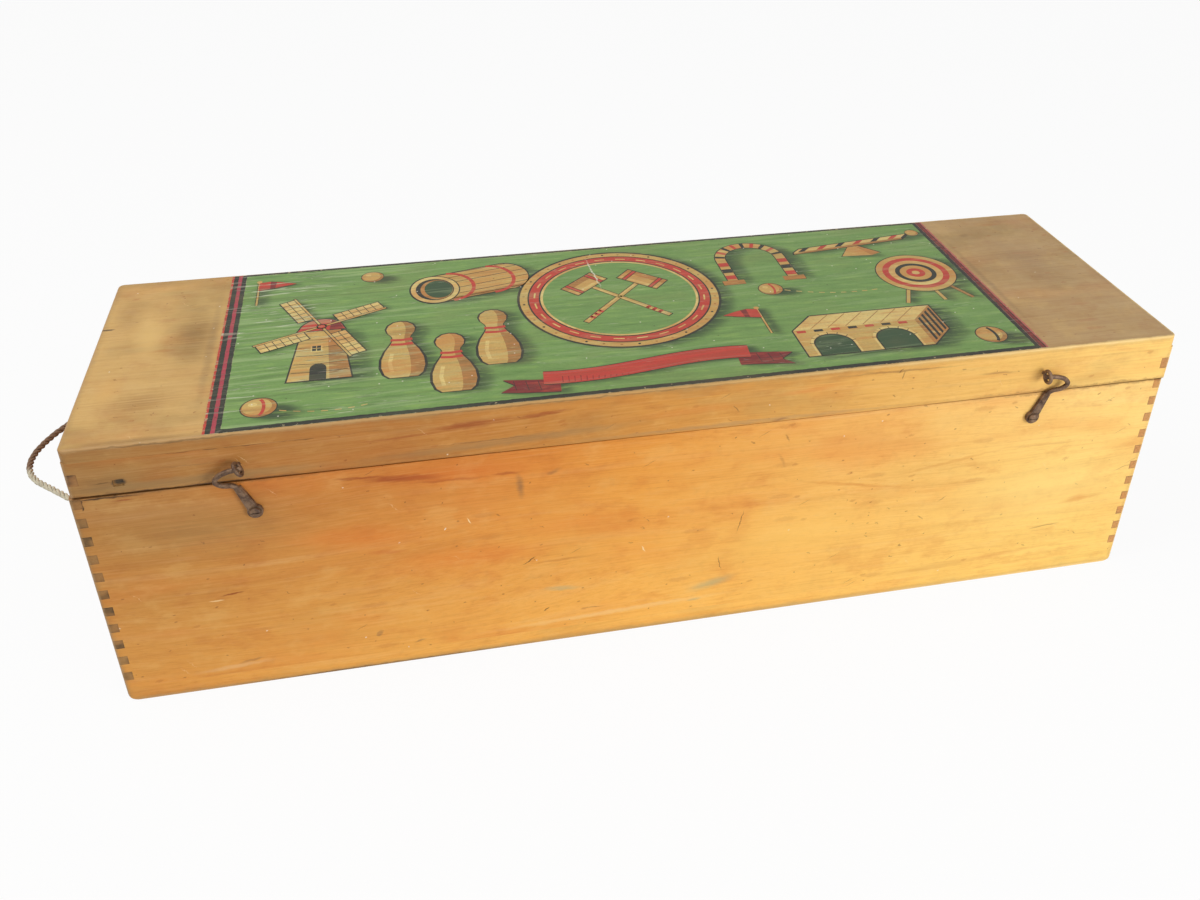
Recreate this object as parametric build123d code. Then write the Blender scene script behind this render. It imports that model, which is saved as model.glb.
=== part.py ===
from build123d import *
import math
import os

# A ball game with wooden obstacles, stowed in its finger-jointed pine box. Millimetres.
# The origin is on the floor under the middle of the box, +X along its length, +Y to its back.

# Box
LENGTH = 822.0
DEPTH = 242.0
WALL = 8.0
BOTTOM_THICK = 13.0
CASE_TOP = 189.8
CASE_FINGERS = 22
CORNER_R = 3.0
BOTTOM_END_R = 8.0
EDGE_R = 0.4

# Cutters run this far past a face, and screws stop this far short of their holes' floors
OVER = 1.0
TIP_GAP = 0.2

# Lid: it sits a little to the right, and its rails have warped, so the seam gapes at both ends
LID_SHIFT = 1.6
SEAM_LEFT = 1.6
SEAM_MIDDLE = 0.3
SEAM_RIGHT = 0.8
SEAM_MIDDLE_X = 80.0
LID_RAIL_TOP = 219.5
LID_TOP = 229.8
LID_FINGERS = 3
LID_CORNER_R = 5.0
LID_EDGE_R = 1.4
LABEL_LEFT = -319.0
LABEL_RIGHT = 303.0
LABEL_THICK = 0.3
GOUGE_X = -377.0
GOUGE_Z = 200.0
GOUGE_WIDE = 7.0
GOUGE_HIGH = 5.5
GOUGE_DEEP = 1.2

# Butt hinges on the back
HINGE_X = 285.0
HINGE_WIDE = 50.0
LEAF_THICK = 1.2
LEAF_HIGH = 20.0
KNUCKLES = 5
KNUCKLE_GAP = 0.3
BARREL_R = 2.3
PIN_R = 1.3
PIN_CLEARANCE = 0.05
PIN_HEAD_R = 1.9
PIN_HEAD_LONG = 1.0
HINGE_AXIS_OUT = 2.6
HINGE_AXIS_Z = 190.3
LEAF_ROOT = 1.0
HINGE_SCREW_SPREAD = 17.0
HINGE_SCREW_ROW = {"case": -13.0, "lid": 12.0}
HINGE_SCREW_STAGGER = 3.0

# Screws and nails
SCREW_R = 1.25
SCREW_BITE = 7.2
SCREW_HEAD_R = 2.4
SCREW_HEAD_HIGH = 0.9
HEAD_ROUND = 0.7
SLOT_FLOOR = 0.55
SLOT_HALF = 0.3
HOLE_CLEARANCE = 0.05
NAIL_R = 0.9
NAIL_HEAD_R = 2.0
NAIL_HEAD_HIGH = 1.0
NAIL_LONG = 32.0
NAIL_SINK = 0.4
NAIL_COUNT = 5

# Hooks, pivot screws and screw eyes on the front. Sign is the way that the hook bows out.
SIDES = {"left": -1, "right": 1}
PIVOT_X = {"left": -294.0, "right": 299.0}
PIVOT_Z = {"left": 165.0, "right": 168.2}
EYE_OUT = {"left": 5.0, "right": 2.2}
EYE_UP = 40.2
EYE_STAND = 7.0
EYE_TURN_DEG = {"left": 30.0, "right": 0.0}
EYE_R = 4.5
EYE_WIRE_R = 1.4
EYE_BITE = 7.0
HOOK_GAP = 0.3
HOOK_THICK = 2.6
HOOK_BOSS_R = 5.4
HOOK_FOOT_WIDE = 8.0
HOOK_NECK_WIDE = 5.0
HOOK_WIRE_R = 1.85
HOOK_TIP = 0.8
HOOK_NECK = (8.6, 21.5)
HOOK_ROUTE = [
    (5.6, 14.0, 2.2), (9.4, 24.2, 2.7), (18.2, 26.0, 4.4), (22.6, 31.2, 6.0),
    (17.8, 37.0, 7.0), (10.4, 39.6, 7.0),
]
HOOK_HOLE_R = 1.68
PIVOT_R = 1.6
PIVOT_HEAD_R = 4.0
PIVOT_HEAD_HIGH = 2.0

# Rope handle: two holes in each end panel, a loop on the left end
ROPE_R = 2.25
ROPE_HOLE_R = 3.0
ROPE_HOLE_Y = 70.0
ROPE_HOLE_Z = 152.0
ROPE_ROUTE = [
    (-411, -70, 152), (-424, -70, 152), (-442, -51, 150.5), (-465, -28, 148.5), (-471, 0, 147.5),
    (-462, 28, 147.5), (-445, 50, 149), (-424, 70, 152), (-411, 70, 152),
]
KNOT_R = 6.2
KNOT_LONG = 12.0
KNOT_ROUND = 0.55
TAIL_LONG = 9.0
BEND_SHARE = 0.45

# The game: where each obstacle stands on the floor of the case
FLOOR = BOTTOM_THICK
HOUSE_X = -195.0
HOUSE_WIDE = 120.0
HOUSE_FRONT = -102.0
HOUSE_BACK = 18.0
HOUSE_EAVE = 60.0
HOUSE_RISE = 45.0
HOUSE_BOARD = 10.0
ROOF_THICK = 6.0
ROOF_SLOPE = 87.0
ROOF_OVERHANG = 4.0
HOUSE_DOOR = 56.0
HOUSE_SPRING = 30.0
BRIDGE_X = -15.0
BRIDGE_LONG = 200.0
BRIDGE_FRONT = -104.0
BRIDGE_BACK = -34.0
BRIDGE_HIGH = 74.0
BRIDGE_BOARD = 10.0
BRIDGE_DECK = 8.0
BRIDGE_DECK_R = 2.0
BRIDGE_OVERHANG = 3.0
BRIDGE_ARCH = 62.0
BRIDGE_SPRING = 28.0
BRIDGE_PITCH = 92.0
CASTLE_X = -15.0
CASTLE_Y = 20.0
CASTLE_LONG = 204.0
CASTLE_HIGH = 104.0
CASTLE_BOARD = 14.0
CASTLE_ARCH = 46.0
CASTLE_SPRING = 34.0
CASTLE_PITCH = 62.0
CASTLE_NOTCH = 14.0
CASTLE_NOTCH_DEEP = 13.0
CASTLE_FOOT = (14.0, 56.0, 12.0)
CASTLE_LAP = 6.0
RAMP_X = 165.0
RAMP_LONG = 130.0
RAMP_FRONT = -104.0
RAMP_BACK = -30.0
RAMP_HIGH = 52.0
RAMP_LIP = 8.0
RAMP_BOARD = 8.0
GATE_X = 165.0
GATE_Y = 20.0
GATE_CLEAR = 74.0
GATE_POST = 15.0
GATE_HIGH = 92.0
GATE_LINTEL = (122.0, 18.0, 16.0)
GATE_LINTEL_R = 3.0
GATE_FOOT = (15.0, 56.0, 10.0)
TUNNEL_X = -335.0
TUNNEL_Y = -44.0
TUNNEL_LONG = 112.0
TUNNEL_R = 50.0
TUNNEL_BORE_R = 33.0
TUNNEL_RISE = 15.0
TUNNEL_BOARD = 10.0
TUNNEL_STAVES = 9
STAVE_THICK = 5.0
STAVE_WIDE = 16.0
STAVE_OVERHANG = 2.0
BALL_R = 27.0
BALL_PITCH = 58.0
BALL_X = 284.0
BALL_Y = -76.0
BALL_NAMES = [["ball_red", "ball_blue"], ["ball_yellow", "ball_green"]]
STICK_R = 9.0
STICK_END_R = 3.0
STICK_Y = {"stick_1": 100.0, "stick_2": 76.0}
STICK_TURN = {"stick_1": 1, "stick_2": -1}
STICK_END = 384.0
STICK_RUN = 316.0
STICK_BEND_R = 60.0
STICK_BEND_DEG = 72.0
STICK_TOE = 26.0
STANDING_GAP = 0.1

HALF = LENGTH / 2
FRONT = -DEPTH / 2
BACK = DEPTH / 2
HINGE_AXIS_Y = BACK + HINGE_AXIS_OUT


def block(x0, x1, y0, y1, z0, z1):
    return Pos((x0 + x1) / 2, (y0 + y1) / 2, (z0 + z1) / 2) * Box(x1 - x0, y1 - y0, z1 - z0)


def rod(radius, start, end):
    line = Vector(*end) - Vector(*start)
    plane = Plane(origin=start, z_dir=line)
    return plane * Cylinder(radius, line.length, align=(Align.CENTER, Align.CENTER, Align.MIN))


def rounded_column(x_mid, radius, z0, z1):
    column = block(x_mid - HALF, x_mid + HALF, FRONT, BACK, z0, z1)
    return fillet(column.edges().filter_by(Axis.Z), radius)


def profile_along_y(points, y0, y1):
    outline = Polyline([Vector(x, y0, z) for x, z in points], close=True)
    return extrude(make_face(outline), amount=y1 - y0, dir=(0, 1, 0))


def spans(low, high, count):
    step = (high - low) / count
    return [(high - (i + 1) * step, high - i * step) for i in range(count)]


def rim_curve(y):
    left = (LID_SHIFT - HALF, y, CASE_TOP + SEAM_LEFT)
    middle = (SEAM_MIDDLE_X, y, CASE_TOP + SEAM_MIDDLE)
    right = (LID_SHIFT + HALF, y, CASE_TOP + SEAM_RIGHT)
    return ThreePointArc(left, middle, right)


def domed_head(radius, high, start, out):
    end = tuple(s + high * o for s, o in zip(start, out))
    head = rod(radius, start, end)
    rim = head.edges().filter_by(GeomType.CIRCLE).sort_by(lambda e: (e.center() - Vector(*end)).length)[0]
    return fillet(rim, high * HEAD_ROUND)


# Case boards

def nail_spots():
    inset = WALL / 2
    along_x = [HALF * (2 * (i + 0.5) / NAIL_COUNT - 1) for i in range(NAIL_COUNT)]
    return [(x, y) for x in along_x for y in (FRONT + inset, BACK - inset)]


def drill_nails(board):
    for x, y in nail_spots():
        board -= rod(NAIL_R + HOLE_CLEARANCE, (x, y, -OVER), (x, y, NAIL_LONG + OVER))
    return board


def front_drill(radius, x, z, deep):
    return rod(radius + HOLE_CLEARANCE, (x, FRONT - OVER, z), (x, FRONT + deep, z))


def back_drill(radius, x, z, deep):
    return rod(radius + HOLE_CLEARANCE, (x, BACK + OVER, z), (x, BACK - deep, z))


def hinge_screw_spots(side):
    row = HINGE_AXIS_Z + HINGE_SCREW_ROW[side]
    away = math.copysign(HINGE_SCREW_STAGGER, HINGE_SCREW_ROW[side])
    spots = []
    for middle in (-HINGE_X, HINGE_X):
        for i in (-1, 0, 1):
            z = row + away if i == 0 else row - away
            spots.append((middle + i * HINGE_SCREW_SPREAD, z))
    return spots


def long_panel(y_outer):
    y0, y1 = sorted((y_outer, y_outer - math.copysign(WALL, y_outer)))
    panel = block(-HALF, HALF, y0, y1, BOTTOM_THICK, CASE_TOP)
    rim = panel.edges().filter_by(Axis.X).group_by(Axis.Z)[-1].sort_by(lambda e: -abs(e.center().Y))[0]
    panel = fillet(rim, EDGE_R)
    for i, (low, high) in enumerate(spans(BOTTOM_THICK, CASE_TOP, CASE_FINGERS)):
        if i % 2 == 0:
            for x in (-HALF, HALF - WALL):
                panel -= block(x, x + WALL, y0, y1, low, high)
    panel &= rounded_column(0, CORNER_R, 0, CASE_TOP)
    return drill_nails(panel)


def front_panel():
    panel = long_panel(FRONT)
    for side in SIDES:
        panel -= front_drill(PIVOT_R, PIVOT_X[side], PIVOT_Z[side], SCREW_BITE)
    return panel


def back_panel():
    panel = long_panel(BACK)
    for x, z in hinge_screw_spots("case"):
        panel -= back_drill(SCREW_R, x, z, SCREW_BITE)
    return panel


def end_panel(sign):
    x0, x1 = sorted((sign * HALF, sign * (HALF - WALL)))
    panel = block(x0, x1, FRONT, BACK, BOTTOM_THICK, CASE_TOP)
    rim = panel.edges().filter_by(Axis.Y).group_by(Axis.Z)[-1].sort_by(lambda e: -abs(e.center().X))[0]
    panel = fillet(rim, EDGE_R)
    for i, (low, high) in enumerate(spans(BOTTOM_THICK, CASE_TOP, CASE_FINGERS)):
        if i % 2 == 1:
            for y in (FRONT, BACK - WALL):
                panel -= block(x0, x1, y, y + WALL, low, high)
    panel &= rounded_column(0, CORNER_R, 0, CASE_TOP)
    for y in (-ROPE_HOLE_Y, ROPE_HOLE_Y):
        panel -= rod(ROPE_HOLE_R, (x0 - OVER, y, ROPE_HOLE_Z), (x1 + OVER, y, ROPE_HOLE_Z))
    return panel


def bottom_board():
    board = rounded_column(0, CORNER_R, 0, BOTTOM_THICK)
    board = board & rounded_ends()
    for x, y in nail_spots():
        head_top = NAIL_SINK + NAIL_HEAD_HIGH
        board -= rod(NAIL_R + HOLE_CLEARANCE, (x, y, -OVER), (x, y, BOTTOM_THICK + OVER))
        board -= rod(NAIL_HEAD_R + HOLE_CLEARANCE, (x, y, -OVER), (x, y, head_top))
    return board


def rounded_ends():
    bar = block(-HALF, HALF, FRONT - OVER, BACK + OVER, 0, BOTTOM_THICK + BOTTOM_END_R)
    return fillet(bar.edges().filter_by(Axis.Y).group_by(Axis.Z)[0], BOTTOM_END_R)


def bottom_nails():
    nails = []
    for x, y in nail_spots():
        shank = rod(NAIL_R, (x, y, NAIL_SINK), (x, y, NAIL_LONG))
        nails.append(shank + rod(NAIL_HEAD_R, (x, y, NAIL_SINK), (x, y, NAIL_SINK + NAIL_HEAD_HIGH)))
    return Compound(nails)


# Lid boards

def lid_fingers(sign):
    seam = SEAM_LEFT if sign < 0 else SEAM_RIGHT
    return spans(CASE_TOP + seam, LID_RAIL_TOP, LID_FINGERS)


def lid_end_span(sign):
    return sorted((LID_SHIFT + sign * HALF, LID_SHIFT + sign * (HALF - WALL)))


def lid_long_rail(y_outer):
    y0, y1 = sorted((y_outer, y_outer - math.copysign(WALL, y_outer)))
    rim = rim_curve(y0)
    left, right = rim @ 0, rim @ 1
    over = Polyline(right, (right.X, y0, LID_RAIL_TOP), (left.X, y0, LID_RAIL_TOP), left)
    rail = extrude(make_face(rim + over), amount=y1 - y0, dir=(0, 1, 0))
    edges = rail.edges().filter_by(lambda e: e.length > LENGTH / 2).group_by(Axis.Z)[0]
    rail = fillet(edges.sort_by(lambda e: -abs(e.center().Y))[0], EDGE_R)
    for sign in (-1, 1):
        x0, x1 = lid_end_span(sign)
        low, high = lid_fingers(sign)[1]
        rail -= block(x0, x1, y0, y1, low, high)
    return rail & rounded_column(LID_SHIFT, CORNER_R, CASE_TOP, LID_RAIL_TOP)


def lid_front_rail():
    rail = lid_long_rail(FRONT)
    for side in SIDES:
        rail -= front_drill(EYE_WIRE_R, *eye_centre(side), EYE_BITE + TIP_GAP)
    x0, z0 = GOUGE_X - GOUGE_WIDE / 2, GOUGE_Z - GOUGE_HIGH / 2
    gouge = block(x0, x0 + GOUGE_WIDE, FRONT - OVER, FRONT + GOUGE_DEEP, z0, z0 + GOUGE_HIGH)
    return rail - gouge


def lid_back_rail():
    rail = lid_long_rail(BACK)
    for x, z in hinge_screw_spots("lid"):
        rail -= back_drill(SCREW_R, x, z, SCREW_BITE)
    return rail


def lid_end_rail(sign):
    x0, x1 = lid_end_span(sign)
    fingers = lid_fingers(sign)
    rail = block(x0, x1, FRONT, BACK, fingers[-1][0], LID_RAIL_TOP)
    edges = rail.edges().filter_by(Axis.Y).group_by(Axis.Z)[0]
    rail = fillet(edges.sort_by(lambda e: -abs(e.center().X))[0], EDGE_R)
    for low, high in (fingers[0], fingers[-1]):
        for y in (FRONT, BACK - WALL):
            rail -= block(x0, x1, y, y + WALL, low, high)
    return rail & rounded_column(LID_SHIFT, CORNER_R, CASE_TOP, LID_RAIL_TOP)


def lid_top_board():
    board = rounded_column(LID_SHIFT, LID_CORNER_R, LID_RAIL_TOP, LID_TOP)
    return fillet(board.faces().sort_by(Axis.Z)[-1].edges(), LID_EDGE_R)


def lid_label():
    inset = LID_EDGE_R
    return block(LABEL_LEFT, LABEL_RIGHT, FRONT + inset, BACK - inset, LID_TOP, LID_TOP + LABEL_THICK)


# Hinges

def knuckle_spans(middle, first):
    step = HINGE_WIDE / KNUCKLES
    start = middle - HINGE_WIDE / 2 + KNUCKLE_GAP / 2
    return [(start + i * step, start + (i + 1) * step - KNUCKLE_GAP) for i in range(first, KNUCKLES, 2)]


def on_hinge_axis(x):
    return x, HINGE_AXIS_Y, HINGE_AXIS_Z


def hinge_leaf(middle, side):
    up = -1 if side == "case" else 1
    near, far = HINGE_AXIS_Z + up * LEAF_ROOT, HINGE_AXIS_Z + up * (LEAF_ROOT + LEAF_HIGH)
    z0, z1 = sorted((near, far))
    leaf = block(middle - HINGE_WIDE / 2, middle + HINGE_WIDE / 2, BACK, BACK + LEAF_THICK, z0, z1)
    own, other = (0, 1) if side == "case" else (1, 0)
    reach = BARREL_R + KNUCKLE_GAP
    for x0, x1 in knuckle_spans(middle, other):
        relief = block(x0 - KNUCKLE_GAP, x1 + KNUCKLE_GAP, BACK - OVER, HINGE_AXIS_Y + reach, -reach, reach)
        leaf -= Pos(0, 0, HINGE_AXIS_Z) * relief
    for x0, x1 in knuckle_spans(middle, own):
        leaf += rod(BARREL_R, on_hinge_axis(x0), on_hinge_axis(x1))
    bore = HINGE_WIDE / 2 + OVER
    leaf -= rod(PIN_R + PIN_CLEARANCE, on_hinge_axis(middle - bore), on_hinge_axis(middle + bore))
    for x, z in hinge_screw_spots(side):
        leaf -= rod(SCREW_R + HOLE_CLEARANCE, (x, BACK - OVER, z), (x, BACK + LEAF_THICK + OVER, z))
    return leaf


def hinge_pin(middle):
    reach = HINGE_WIDE / 2
    pin = rod(PIN_R, on_hinge_axis(middle - reach), on_hinge_axis(middle + reach))
    for sign in (-1, 1):
        inner, outer = middle + sign * reach, middle + sign * (reach + PIN_HEAD_LONG)
        pin += rod(PIN_HEAD_R, on_hinge_axis(inner), on_hinge_axis(outer))
    return pin


def slotted_screw(x, z, y_seat, out, radius, head_r, head_high, bite):
    y_tip = y_seat - out * bite
    screw = rod(radius, (x, y_tip, z), (x, y_seat, z))
    screw += domed_head(head_r, head_high, (x, y_seat, z), (0, out, 0))
    y0, y1 = sorted((y_seat + out * head_high * SLOT_FLOOR, y_seat + out * (head_high + OVER)))
    return screw - block(x - head_r - OVER, x + head_r + OVER, y0, y1, z - SLOT_HALF, z + SLOT_HALF)


def hinge_screws(side):
    seat = BACK + LEAF_THICK
    bite = LEAF_THICK + SCREW_BITE - TIP_GAP
    return Compound([
        slotted_screw(x, z, seat, 1, SCREW_R, SCREW_HEAD_R, SCREW_HEAD_HIGH, bite)
        for x, z in hinge_screw_spots(side)
    ])


# Hooks and eyes

def eye_centre(side):
    return PIVOT_X[side] + SIDES[side] * EYE_OUT[side], PIVOT_Z[side] + EYE_UP


def hook_point(side, out, up, stand):
    return PIVOT_X[side] + SIDES[side] * out, FRONT - stand, PIVOT_Z[side] + up


def hook_route(side):
    tip = (EYE_OUT[side] - HOOK_TIP, EYE_UP, EYE_STAND)
    return [hook_point(side, *p) for p in HOOK_ROUTE + [tip]]


def fillet_radii(points):
    radii = []
    for before, here, after in zip(points, points[1:], points[2:]):
        arriving = Vector(*here) - Vector(*before)
        leaving = Vector(*after) - Vector(*here)
        half_turn = math.radians(arriving.get_angle(leaving)) / 2
        radii.append(BEND_SHARE * min(arriving.length, leaving.length) / math.tan(half_turn))
    return radii


def tube(points, radius):
    path = FilletPolyline(*[Vector(*p) for p in points], radius=fillet_radii(points))
    start = Plane(origin=path @ 0, z_dir=path % 0)
    return sweep(start * Circle(radius), path=path), path


def hook(side):
    run = Vector(*HOOK_NECK).normalized()
    across = Vector(-run.Y, run.X)
    foot, neck = across * (HOOK_FOOT_WIDE / 2), across * (HOOK_NECK_WIDE / 2)
    tip = Vector(*HOOK_NECK)
    corners = [foot, tip + neck, tip - neck, -foot]
    outline = Polyline([Vector(*hook_point(side, c.X, c.Y, HOOK_GAP)) for c in corners], close=True)
    strip = extrude(make_face(outline), amount=HOOK_THICK, dir=(0, -1, 0))
    boss_ends = [hook_point(side, 0, 0, stand) for stand in (HOOK_GAP, HOOK_GAP + HOOK_THICK)]
    strip += rod(HOOK_BOSS_R, *boss_ends)
    route = hook_route(side)
    wire, _ = tube(route, HOOK_WIRE_R)
    shape = strip + wire + Pos(*route[0]) * Sphere(HOOK_WIRE_R) + Pos(*route[-1]) * Sphere(HOOK_WIRE_R)
    far_face = 2 * HOOK_GAP + HOOK_THICK + OVER
    return shape - rod(HOOK_HOLE_R, hook_point(side, 0, 0, -OVER), hook_point(side, 0, 0, far_face))


def pivot_screw(side):
    seat = FRONT - 2 * HOOK_GAP - HOOK_THICK
    bite = 2 * HOOK_GAP + HOOK_THICK + SCREW_BITE - TIP_GAP
    x, z = PIVOT_X[side], PIVOT_Z[side]
    return slotted_screw(x, z, seat, -1, PIVOT_R, PIVOT_HEAD_R, PIVOT_HEAD_HIGH, bite)


def screw_eye(side):
    x, z = eye_centre(side)
    turn = math.radians(EYE_TURN_DEG[side])
    facing = (math.cos(turn), 0, math.sin(turn))
    ring = Plane(origin=(x, FRONT - EYE_STAND, z), z_dir=facing) * Torus(EYE_R, EYE_WIRE_R)
    return ring + rod(EYE_WIRE_R, (x, FRONT - EYE_STAND + EYE_R, z), (x, FRONT + EYE_BITE, z))


# Rope

def rope_handle():
    solid, path = tube(ROPE_ROUTE, ROPE_R)
    radii = [round(r / (2 * ROPE_R), 1) for r in fillet_radii(ROPE_ROUTE)]
    section = math.pi * ROPE_R ** 2 * path.length
    print("rope: length", round(path.length, 1), "radii in diameters", radii)
    print("rope: volume", round(solid.volume, 1), "section times length", round(section, 1))
    return solid


def rope_knot(y):
    inner = -HALF + WALL
    stub = rod(ROPE_R, (-HALF, y, ROPE_HOLE_Z), (inner, y, ROPE_HOLE_Z))
    knot = rod(KNOT_R, (inner, y, ROPE_HOLE_Z), (inner + KNOT_LONG, y, ROPE_HOLE_Z))
    knot = fillet(knot.edges().filter_by(GeomType.CIRCLE), KNOT_R * KNOT_ROUND)
    tail_end = inner + KNOT_LONG + TAIL_LONG
    return stub + knot + rod(ROPE_R, (inner + KNOT_LONG - OVER, y, ROPE_HOLE_Z), (tail_end, y, ROPE_HOLE_Z))


# Obstacles

def arch(x, width, spring, y0, y1):
    door = block(x - width / 2, x + width / 2, y0 - OVER, y1 + OVER, FLOOR - OVER, FLOOR + spring)
    return door + rod(width / 2, (x, y0 - OVER, FLOOR + spring), (x, y1 + OVER, FLOOR + spring))


def house_wall(y0):
    half = HOUSE_WIDE / 2
    gable = [(-half, 0), (half, 0), (half, HOUSE_EAVE), (0, HOUSE_EAVE + HOUSE_RISE), (-half, HOUSE_EAVE)]
    wall = profile_along_y([(HOUSE_X + x, FLOOR + z) for x, z in gable], y0, y0 + HOUSE_BOARD)
    return wall - arch(HOUSE_X, HOUSE_DOOR, HOUSE_SPRING, y0, y0 + HOUSE_BOARD)


def house_roof(sign):
    ridge = HOUSE_EAVE + HOUSE_RISE
    run = math.hypot(HOUSE_WIDE / 2, HOUSE_RISE)
    cos, sin = HOUSE_WIDE / 2 / run, HOUSE_RISE / run
    low_x, low_z = ROOF_SLOPE * cos, ridge - ROOF_SLOPE * sin
    corners = [
        (0, ridge), (0, ridge + ROOF_THICK / cos),
        (low_x + ROOF_THICK * sin, low_z + ROOF_THICK * cos), (low_x, low_z),
    ]
    points = [(HOUSE_X + sign * x, FLOOR + z) for x, z in corners]
    return profile_along_y(points, HOUSE_FRONT - ROOF_OVERHANG, HOUSE_BACK + ROOF_OVERHANG)


def bridge_side(y0):
    half = BRIDGE_LONG / 2
    board = block(BRIDGE_X - half, BRIDGE_X + half, y0, y0 + BRIDGE_BOARD, FLOOR, FLOOR + BRIDGE_HIGH)
    for sign in (-1, 1):
        x = BRIDGE_X + sign * BRIDGE_PITCH / 2
        board -= arch(x, BRIDGE_ARCH, BRIDGE_SPRING, y0, y0 + BRIDGE_BOARD)
    return board


def bridge_deck():
    half = BRIDGE_LONG / 2 + BRIDGE_OVERHANG
    y0, y1 = BRIDGE_FRONT - BRIDGE_OVERHANG, BRIDGE_BACK + BRIDGE_OVERHANG
    top = FLOOR + BRIDGE_HIGH
    deck = block(BRIDGE_X - half, BRIDGE_X + half, y0, y1, top, top + BRIDGE_DECK)
    return fillet(deck.faces().sort_by(Axis.Z)[-1].edges(), BRIDGE_DECK_R)


def castle_foot_spots():
    reach = CASTLE_LONG / 2 - CASTLE_FOOT[0] / 2
    return [CASTLE_X - reach, CASTLE_X + reach]


def castle_wall():
    half = CASTLE_LONG / 2
    y0, y1 = CASTLE_Y - CASTLE_BOARD / 2, CASTLE_Y + CASTLE_BOARD / 2
    top = FLOOR + CASTLE_HIGH
    wall = block(CASTLE_X - half, CASTLE_X + half, y0, y1, FLOOR, top)
    for i in (-1, 0, 1):
        wall -= arch(CASTLE_X + i * CASTLE_PITCH, CASTLE_ARCH, CASTLE_SPRING, y0, y1)
    for i in range(-3, 4):
        x = CASTLE_X + i * 2 * CASTLE_NOTCH
        wall -= block(x - CASTLE_NOTCH / 2, x + CASTLE_NOTCH / 2, y0, y1, top - CASTLE_NOTCH_DEEP, top)
    for x in castle_foot_spots():
        wall -= block(x - CASTLE_FOOT[0] / 2, x + CASTLE_FOOT[0] / 2, y0, y1, FLOOR, FLOOR + CASTLE_LAP)
    return wall


def castle_feet():
    wide, _, high = CASTLE_FOOT
    slot_top = FLOOR + high + OVER
    feet = []
    for x in castle_foot_spots():
        foot = footing(x, CASTLE_Y, CASTLE_FOOT)
        feet.append(foot - footing(x, CASTLE_Y, (2 * wide, CASTLE_BOARD, slot_top), FLOOR + CASTLE_LAP))
    return Compound(feet)


def footing(x, y, size, low=FLOOR):
    wide, deep, high = size
    return block(x - wide / 2, x + wide / 2, y - deep / 2, y + deep / 2, low, low + high)


def ramp_slope(z_drop):
    start, end = RAMP_X - RAMP_LONG / 2, RAMP_X + RAMP_LONG / 2
    return [(start, FLOOR + RAMP_LIP - z_drop), (end, FLOOR + RAMP_HIGH - z_drop)]


def ramp_deck():
    upper, lower = ramp_slope(0), ramp_slope(RAMP_BOARD)
    return profile_along_y(upper + lower[::-1], RAMP_FRONT + RAMP_BOARD, RAMP_BACK - RAMP_BOARD)


def ramp_sides():
    (start, low), (end, high) = ramp_slope(-RAMP_LIP)
    outline = [(start, FLOOR), (end, FLOOR), (end, high), (start, low)]
    sides = [(RAMP_FRONT, RAMP_FRONT + RAMP_BOARD), (RAMP_BACK - RAMP_BOARD, RAMP_BACK)]
    return Compound([profile_along_y(outline, y0, y1) for y0, y1 in sides])


def gate_post_spots():
    reach = (GATE_CLEAR + GATE_POST) / 2
    return [GATE_X - reach, GATE_X + reach]


def gate_feet():
    return Compound([footing(x, GATE_Y, GATE_FOOT) for x in gate_post_spots()])


def gate_posts():
    foot_high = GATE_FOOT[2]
    post = (GATE_POST, GATE_POST, GATE_HIGH - foot_high)
    return Compound([footing(x, GATE_Y, post, FLOOR + foot_high) for x in gate_post_spots()])


def gate_lintel():
    beam = footing(GATE_X, GATE_Y, GATE_LINTEL, FLOOR + GATE_HIGH)
    return fillet(beam.faces().sort_by(Axis.Z)[-1].edges(), GATE_LINTEL_R)


def tunnel_end_boards():
    boards = []
    axis_z = FLOOR + TUNNEL_RISE
    half = TUNNEL_LONG / 2
    for x0 in (TUNNEL_X - half, TUNNEL_X + half - TUNNEL_BOARD):
        x1 = x0 + TUNNEL_BOARD
        board = block(x0, x1, TUNNEL_Y - TUNNEL_R, TUNNEL_Y + TUNNEL_R, FLOOR, axis_z)
        board += rod(TUNNEL_R, (x0, TUNNEL_Y, axis_z), (x1, TUNNEL_Y, axis_z)) & above(axis_z)
        board -= rod(TUNNEL_BORE_R, (x0 - OVER, TUNNEL_Y, axis_z), (x1 + OVER, TUNNEL_Y, axis_z))
        y0, y1 = TUNNEL_Y - TUNNEL_BORE_R, TUNNEL_Y + TUNNEL_BORE_R
        boards.append(board - block(x0 - OVER, x1 + OVER, y0, y1, FLOOR - OVER, axis_z))
    return Compound(boards)


def above(z):
    return block(-HALF, HALF, FRONT, BACK, z, z + LENGTH)


def tunnel_staves():
    staves = []
    axis_z = FLOOR + TUNNEL_RISE
    half = TUNNEL_LONG / 2 + STAVE_OVERHANG
    inner, outer = TUNNEL_R + STANDING_GAP, TUNNEL_R + STAVE_THICK
    for i in range(TUNNEL_STAVES):
        angle = 180 * (i + 0.5) / TUNNEL_STAVES
        stave = block(-half, half, inner, outer, -STAVE_WIDE / 2, STAVE_WIDE / 2)
        staves.append(Pos(TUNNEL_X, TUNNEL_Y, axis_z) * Rot(angle, 0, 0) * stave)
    return Compound(staves)


def ball(column, row):
    x, y = BALL_X + column * BALL_PITCH, BALL_Y + row * BALL_PITCH
    return Pos(x, y, FLOOR + BALL_R + STANDING_GAP) * Sphere(BALL_R)


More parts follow.
